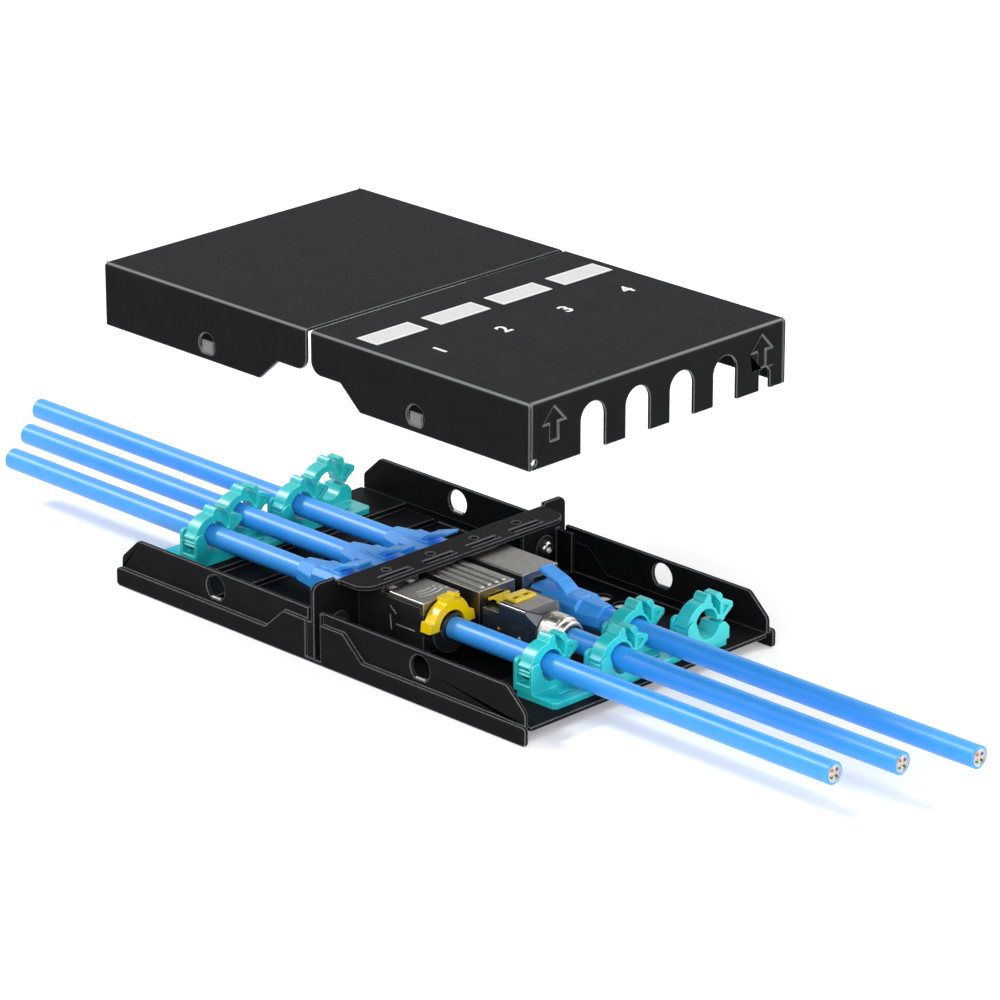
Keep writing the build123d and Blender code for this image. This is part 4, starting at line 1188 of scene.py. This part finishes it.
@dataclass
class Covers(Assembly):
    """Two folded covers with their label fields, the fields' borders and printed digits."""

    solids: tuple[Solid, ...] = (
        Solid("cover_left", COVER_COAT, Slot.STEEL, edge_mm=0.3, body=Body.COVER_LEFT.value),
        Solid("cover_right", COVER_COAT, Slot.STEEL, edge_mm=0.3, body=Body.COVER_RIGHT.value),
    )
    port_pitch_mm: float = 29.0
    label_edge_mm: float = 0.06
    label_x_mm: float = 22.5
    label_width_mm: float = 9.6
    label_length_mm: float = 23.0
    label_top_mm: float = 0.25
    border_mm: float = 0.8
    border_inset_mm: float = 0.1
    border_height_mm: float = 0.03
    digit_height_mm: float = 5.7
    font_height_share: float = 0.7
    digit_x_mm: float = 45.0
    digit_lift_mm: float = 0.04
    digit_bold_mm: float = 0.2
    window_x_mm: float = 50.0
    window_z_mm: float = 100.4
    window_radius_mm: float = 3.75
    window_face_mm: float = 59.22
    window_steps: int = 16
    tongue_half_mm: float = 2.35
    tongue_low_mm: float = 97.45
    tongue_top_mm: float = 101.6
    tongue_gap_mm: float = 0.25
    tongue_face_mm: float = 59.68
    inlay_mm: float = 0.05

    def add_details(self) -> None:
        """Dress the label fields, print the digits and dress the pressed windows."""
        right = Body.COVER_RIGHT.value
        for port in PORTS:
            label = Solid(f"label_{port}", LABEL_FILM, Slot.LABEL, self.label_edge_mm, body=right)
            self.shop.soften(label)
            self.frame_label(port)
            self.print_digit(port)
        for cover, side in ((Body.COVER_LEFT.value, -1), (right, 1)):
            for face in (-1, 1):
                self.dress_window(cover, side, face)

    def dress_window(self, cover: str, side: int, face: int) -> None:
        """Lay painted shade in one pressed window and a painted highlight on its tongue.

        Args:
            cover: Body of the cover.
            side: 1 for the right cover, -1 for the left.
            face: -1 for the front side, 1 for the rear.
        """
        radius, steps = self.window_radius_mm, self.window_steps
        start = math.asin((self.tongue_top_mm - self.window_z_mm) / radius)
        turns = [start + (math.pi - 2 * start) * step / steps for step in range(steps + 1)]
        hollow = [(radius * math.cos(t), self.window_z_mm + radius * math.sin(t)) for t in turns]
        half, low = self.tongue_half_mm, self.tongue_low_mm
        high = self.tongue_top_mm - self.tongue_gap_mm
        tongue = [(-half, low), (half, low), (half, high), (-half, high)]
        where = "front" if face < 0 else "rear"
        for label, outline, depth, finish in (
            ("hollow", hollow, self.window_face_mm, WINDOW_PAINTED_SHADE),
            ("tongue", tongue, self.tongue_face_mm, HIGHLIGHT_GREY_STEEL),
        ):
            draft = Draft()
            x, y = side * self.window_x_mm, face * depth
            corners = [Vector((x + across, y, z)) for across, z in outline]
            draft.slab(corners, -FRONT * face * self.inlay_mm)
            self.shop.draw(f"{cover}_{label}_{where}", draft, finish, Slot.STEEL, cover)

    def frame_label(self, port: int) -> None:
        """Print the white border around one label field.

        Args:
            port: Port of the field.
        """
        y = spread(port, self.port_pitch_mm)
        middle = Vector((self.label_x_mm, y, COVER_TOP + self.label_top_mm))
        half_x = (self.label_width_mm - self.border_mm) / 2 - self.border_inset_mm
        half_y = (self.label_length_mm - self.border_mm) / 2 - self.border_inset_mm
        reach = self.border_mm / 2
        draft = Draft()
        for sign in (-1, 1):
            for ends in (
                ((-half_x - reach, sign * half_y), (half_x + reach, sign * half_y)),
                ((sign * half_x, -half_y + reach), (sign * half_x, half_y - reach)),
            ):
                path = [middle + Vector((*end, 0)) for end in ends]
                draft.bar(path, UP, self.border_mm, self.border_height_mm)
        right = Body.COVER_RIGHT.value
        self.shop.draw(f"label_{port}_border", draft, PRINT_WHITE, Slot.LABEL, right)

    def print_digit(self, port: int) -> None:
        """Print one port digit on the right cover.

        Args:
            port: The digit, 1 to 4.
        """
        text = bpy.data.curves.new(f"digit_{port}_text", "FONT")
        text.body = str(port)
        text.size = self.digit_height_mm * MM / self.font_height_share
        text.align_x = "CENTER"
        text.align_y = "CENTER"
        text.offset = self.digit_bold_mm * MM
        text.extrude = self.digit_lift_mm * MM
        holder = add_object(f"digit_{port}_text", text)
        mesh = evaluated_mesh(holder)
        bpy.data.objects.remove(holder)
        y = spread(port, self.port_pitch_mm)
        place = Vector((self.digit_x_mm, y, COVER_TOP + self.digit_lift_mm)) * MM
        mesh.transform(Matrix.Translation(place) @ Matrix.Rotation(math.pi / 2, 4, "Z"))
        self.shop.put(f"digit_{port}", mesh, PRINT_WHITE, Slot.LABEL.value, Body.COVER_RIGHT.value)


@dataclass(frozen=True)
class Lamp:
    """A square area lamp aimed at the object: place and side in metres, power in watts."""

    name: str
    place: Triple
    side: float
    power: float


@dataclass
class Studio:
    """Pale floor, soft lamps, world and the camera."""

    floor_mm: float = 6000.0
    floor_drop_mm: float = 0.2
    floor_lift: float = 0.24
    world_strength: float = 0.4
    lens_mm: float = 180.24
    sensor_mm: float = 36.0
    clip_mm: Pair = (50.0, 50000.0)
    camera_mm: Triple = (1138.06, -1107.98, 647.71)
    azimuth: float = 45.04
    elevation: float = 20.87
    aim_mm: float = 50.0
    lamps: tuple[Lamp, ...] = (
        Lamp("key_lamp", (-2.5, -1.25, 2.6), side=0.7, power=70.0),
        Lamp("end_bend_lamp", (1.3, 2.5, 2.5), side=0.7, power=40.0),
        Lamp("right_fill_lamp", (1.35, 0.55, 0.35), side=0.8, power=8.0),
        Lamp("overhead_softbox", (0.1, -0.25, 1.7), side=1.3, power=2.0),
        Lamp("camera_side_fill", (1.1, -1.3, 0.95), side=1.2, power=15.0),
    )

    def build(self) -> None:
        """Set up the floor, the light and the camera."""
        self.lay_floor()
        self.light_world()
        self.hang_lamps()
        self.place_camera()
        bpy.context.scene.view_settings.view_transform = "Standard"

    def lay_floor(self) -> None:
        """Lay a white floor that keeps the object's shadow."""
        half, level = self.floor_mm * MM / 2, -self.floor_drop_mm * MM
        corners = [(x * half, y * half, level) for x, y in ((-1, -1), (1, -1), (1, 1), (-1, 1))]
        mesh = bpy.data.meshes.new("studio_floor")
        mesh.from_pydata(corners, [], [(0, 1, 2, 3)])
        ground = add_object("studio_floor", mesh)
        material = blank_material("matt_white_paper")
        matt = add_node(material, "BsdfDiffuse", {"Color": linear("FAFAFA")}).outputs[0]
        share = {0: seen_rays(material), 1: self.floor_lift}
        lift = add_node(material, "Math", share, {"operation": "MULTIPLY"}).outputs[0]
        glow = add_node(material, "Emission", {"Color": linear("FFFFFF"), "Strength": lift})
        lit = add_node(material, "AddShader", {0: matt, 1: glow.outputs[0]}).outputs[0]
        add_node(material, "OutputMaterial", {"Surface": lit})
        mesh.materials.append(material)

    def light_world(self) -> None:
        """Give a soft even world that cameras, metal and glass see as white."""
        world = bpy.data.worlds.new("studio_world")
        world.use_nodes = True
        world.node_tree.nodes.clear()
        bpy.context.scene.world = world
        light, backdrop = (
            add_node(world, "Background", {"Color": linear("FFFFFF"), "Strength": strength})
            for strength in (self.world_strength, 1.0)
        )
        shown = {0: seen_rays(world), 1: light.outputs[0], 2: backdrop.outputs[0]}
        mixed = add_node(world, "MixShader", shown).outputs[0]
        add_node(world, "OutputWorld", {"Surface": mixed})

    def hang_lamps(self) -> None:
        """Hang the soft area lamps."""
        for lamp in self.lamps:
            data = bpy.data.lights.new(lamp.name, "AREA")
            data.size = lamp.side
            data.energy = lamp.power
            hung = add_object(lamp.name, data)
            hung.location = lamp.place
            self.aim(hung, UP * self.aim_mm * MM - Vector(lamp.place))

    def place_camera(self) -> None:
        """Place the long-lens camera at the fitted viewpoint."""
        data = bpy.data.cameras.new("studio_camera")
        data.lens = self.lens_mm
        data.sensor_width = self.sensor_mm
        data.clip_start, data.clip_end = (distance * MM for distance in self.clip_mm)
        camera = add_object("studio_camera", data)
        a, e = math.radians(self.azimuth), math.radians(self.elevation)
        back = Vector((math.sin(a) * math.cos(e), -math.cos(a) * math.cos(e), math.sin(e)))
        camera.location = Vector(self.camera_mm) * MM
        self.aim(camera, -back)
        bpy.context.scene.camera = camera

    @staticmethod
    def aim(target: Piece, way: Vector) -> None:
        """Turn a lamp or the camera so that it looks along a direction."""
        target.rotation_euler = way.to_track_quat("-Z", "Y").to_euler()


def main() -> None:
    """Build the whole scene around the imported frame."""
    logging.basicConfig(level=logging.INFO, format="%(name)s: %(message)s")
    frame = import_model()
    workshop = Workshop(frame, Palette())
    for assembly in (Cables, SteelTray, CableClips, PortOne, PortTwo, PatchCords, Covers):
        assembly(workshop).build()
        LOG.info("%s built", assembly.__name__)
    Studio().build()
    LOG.info("scene complete")


if __name__ == "__main__":
    main()
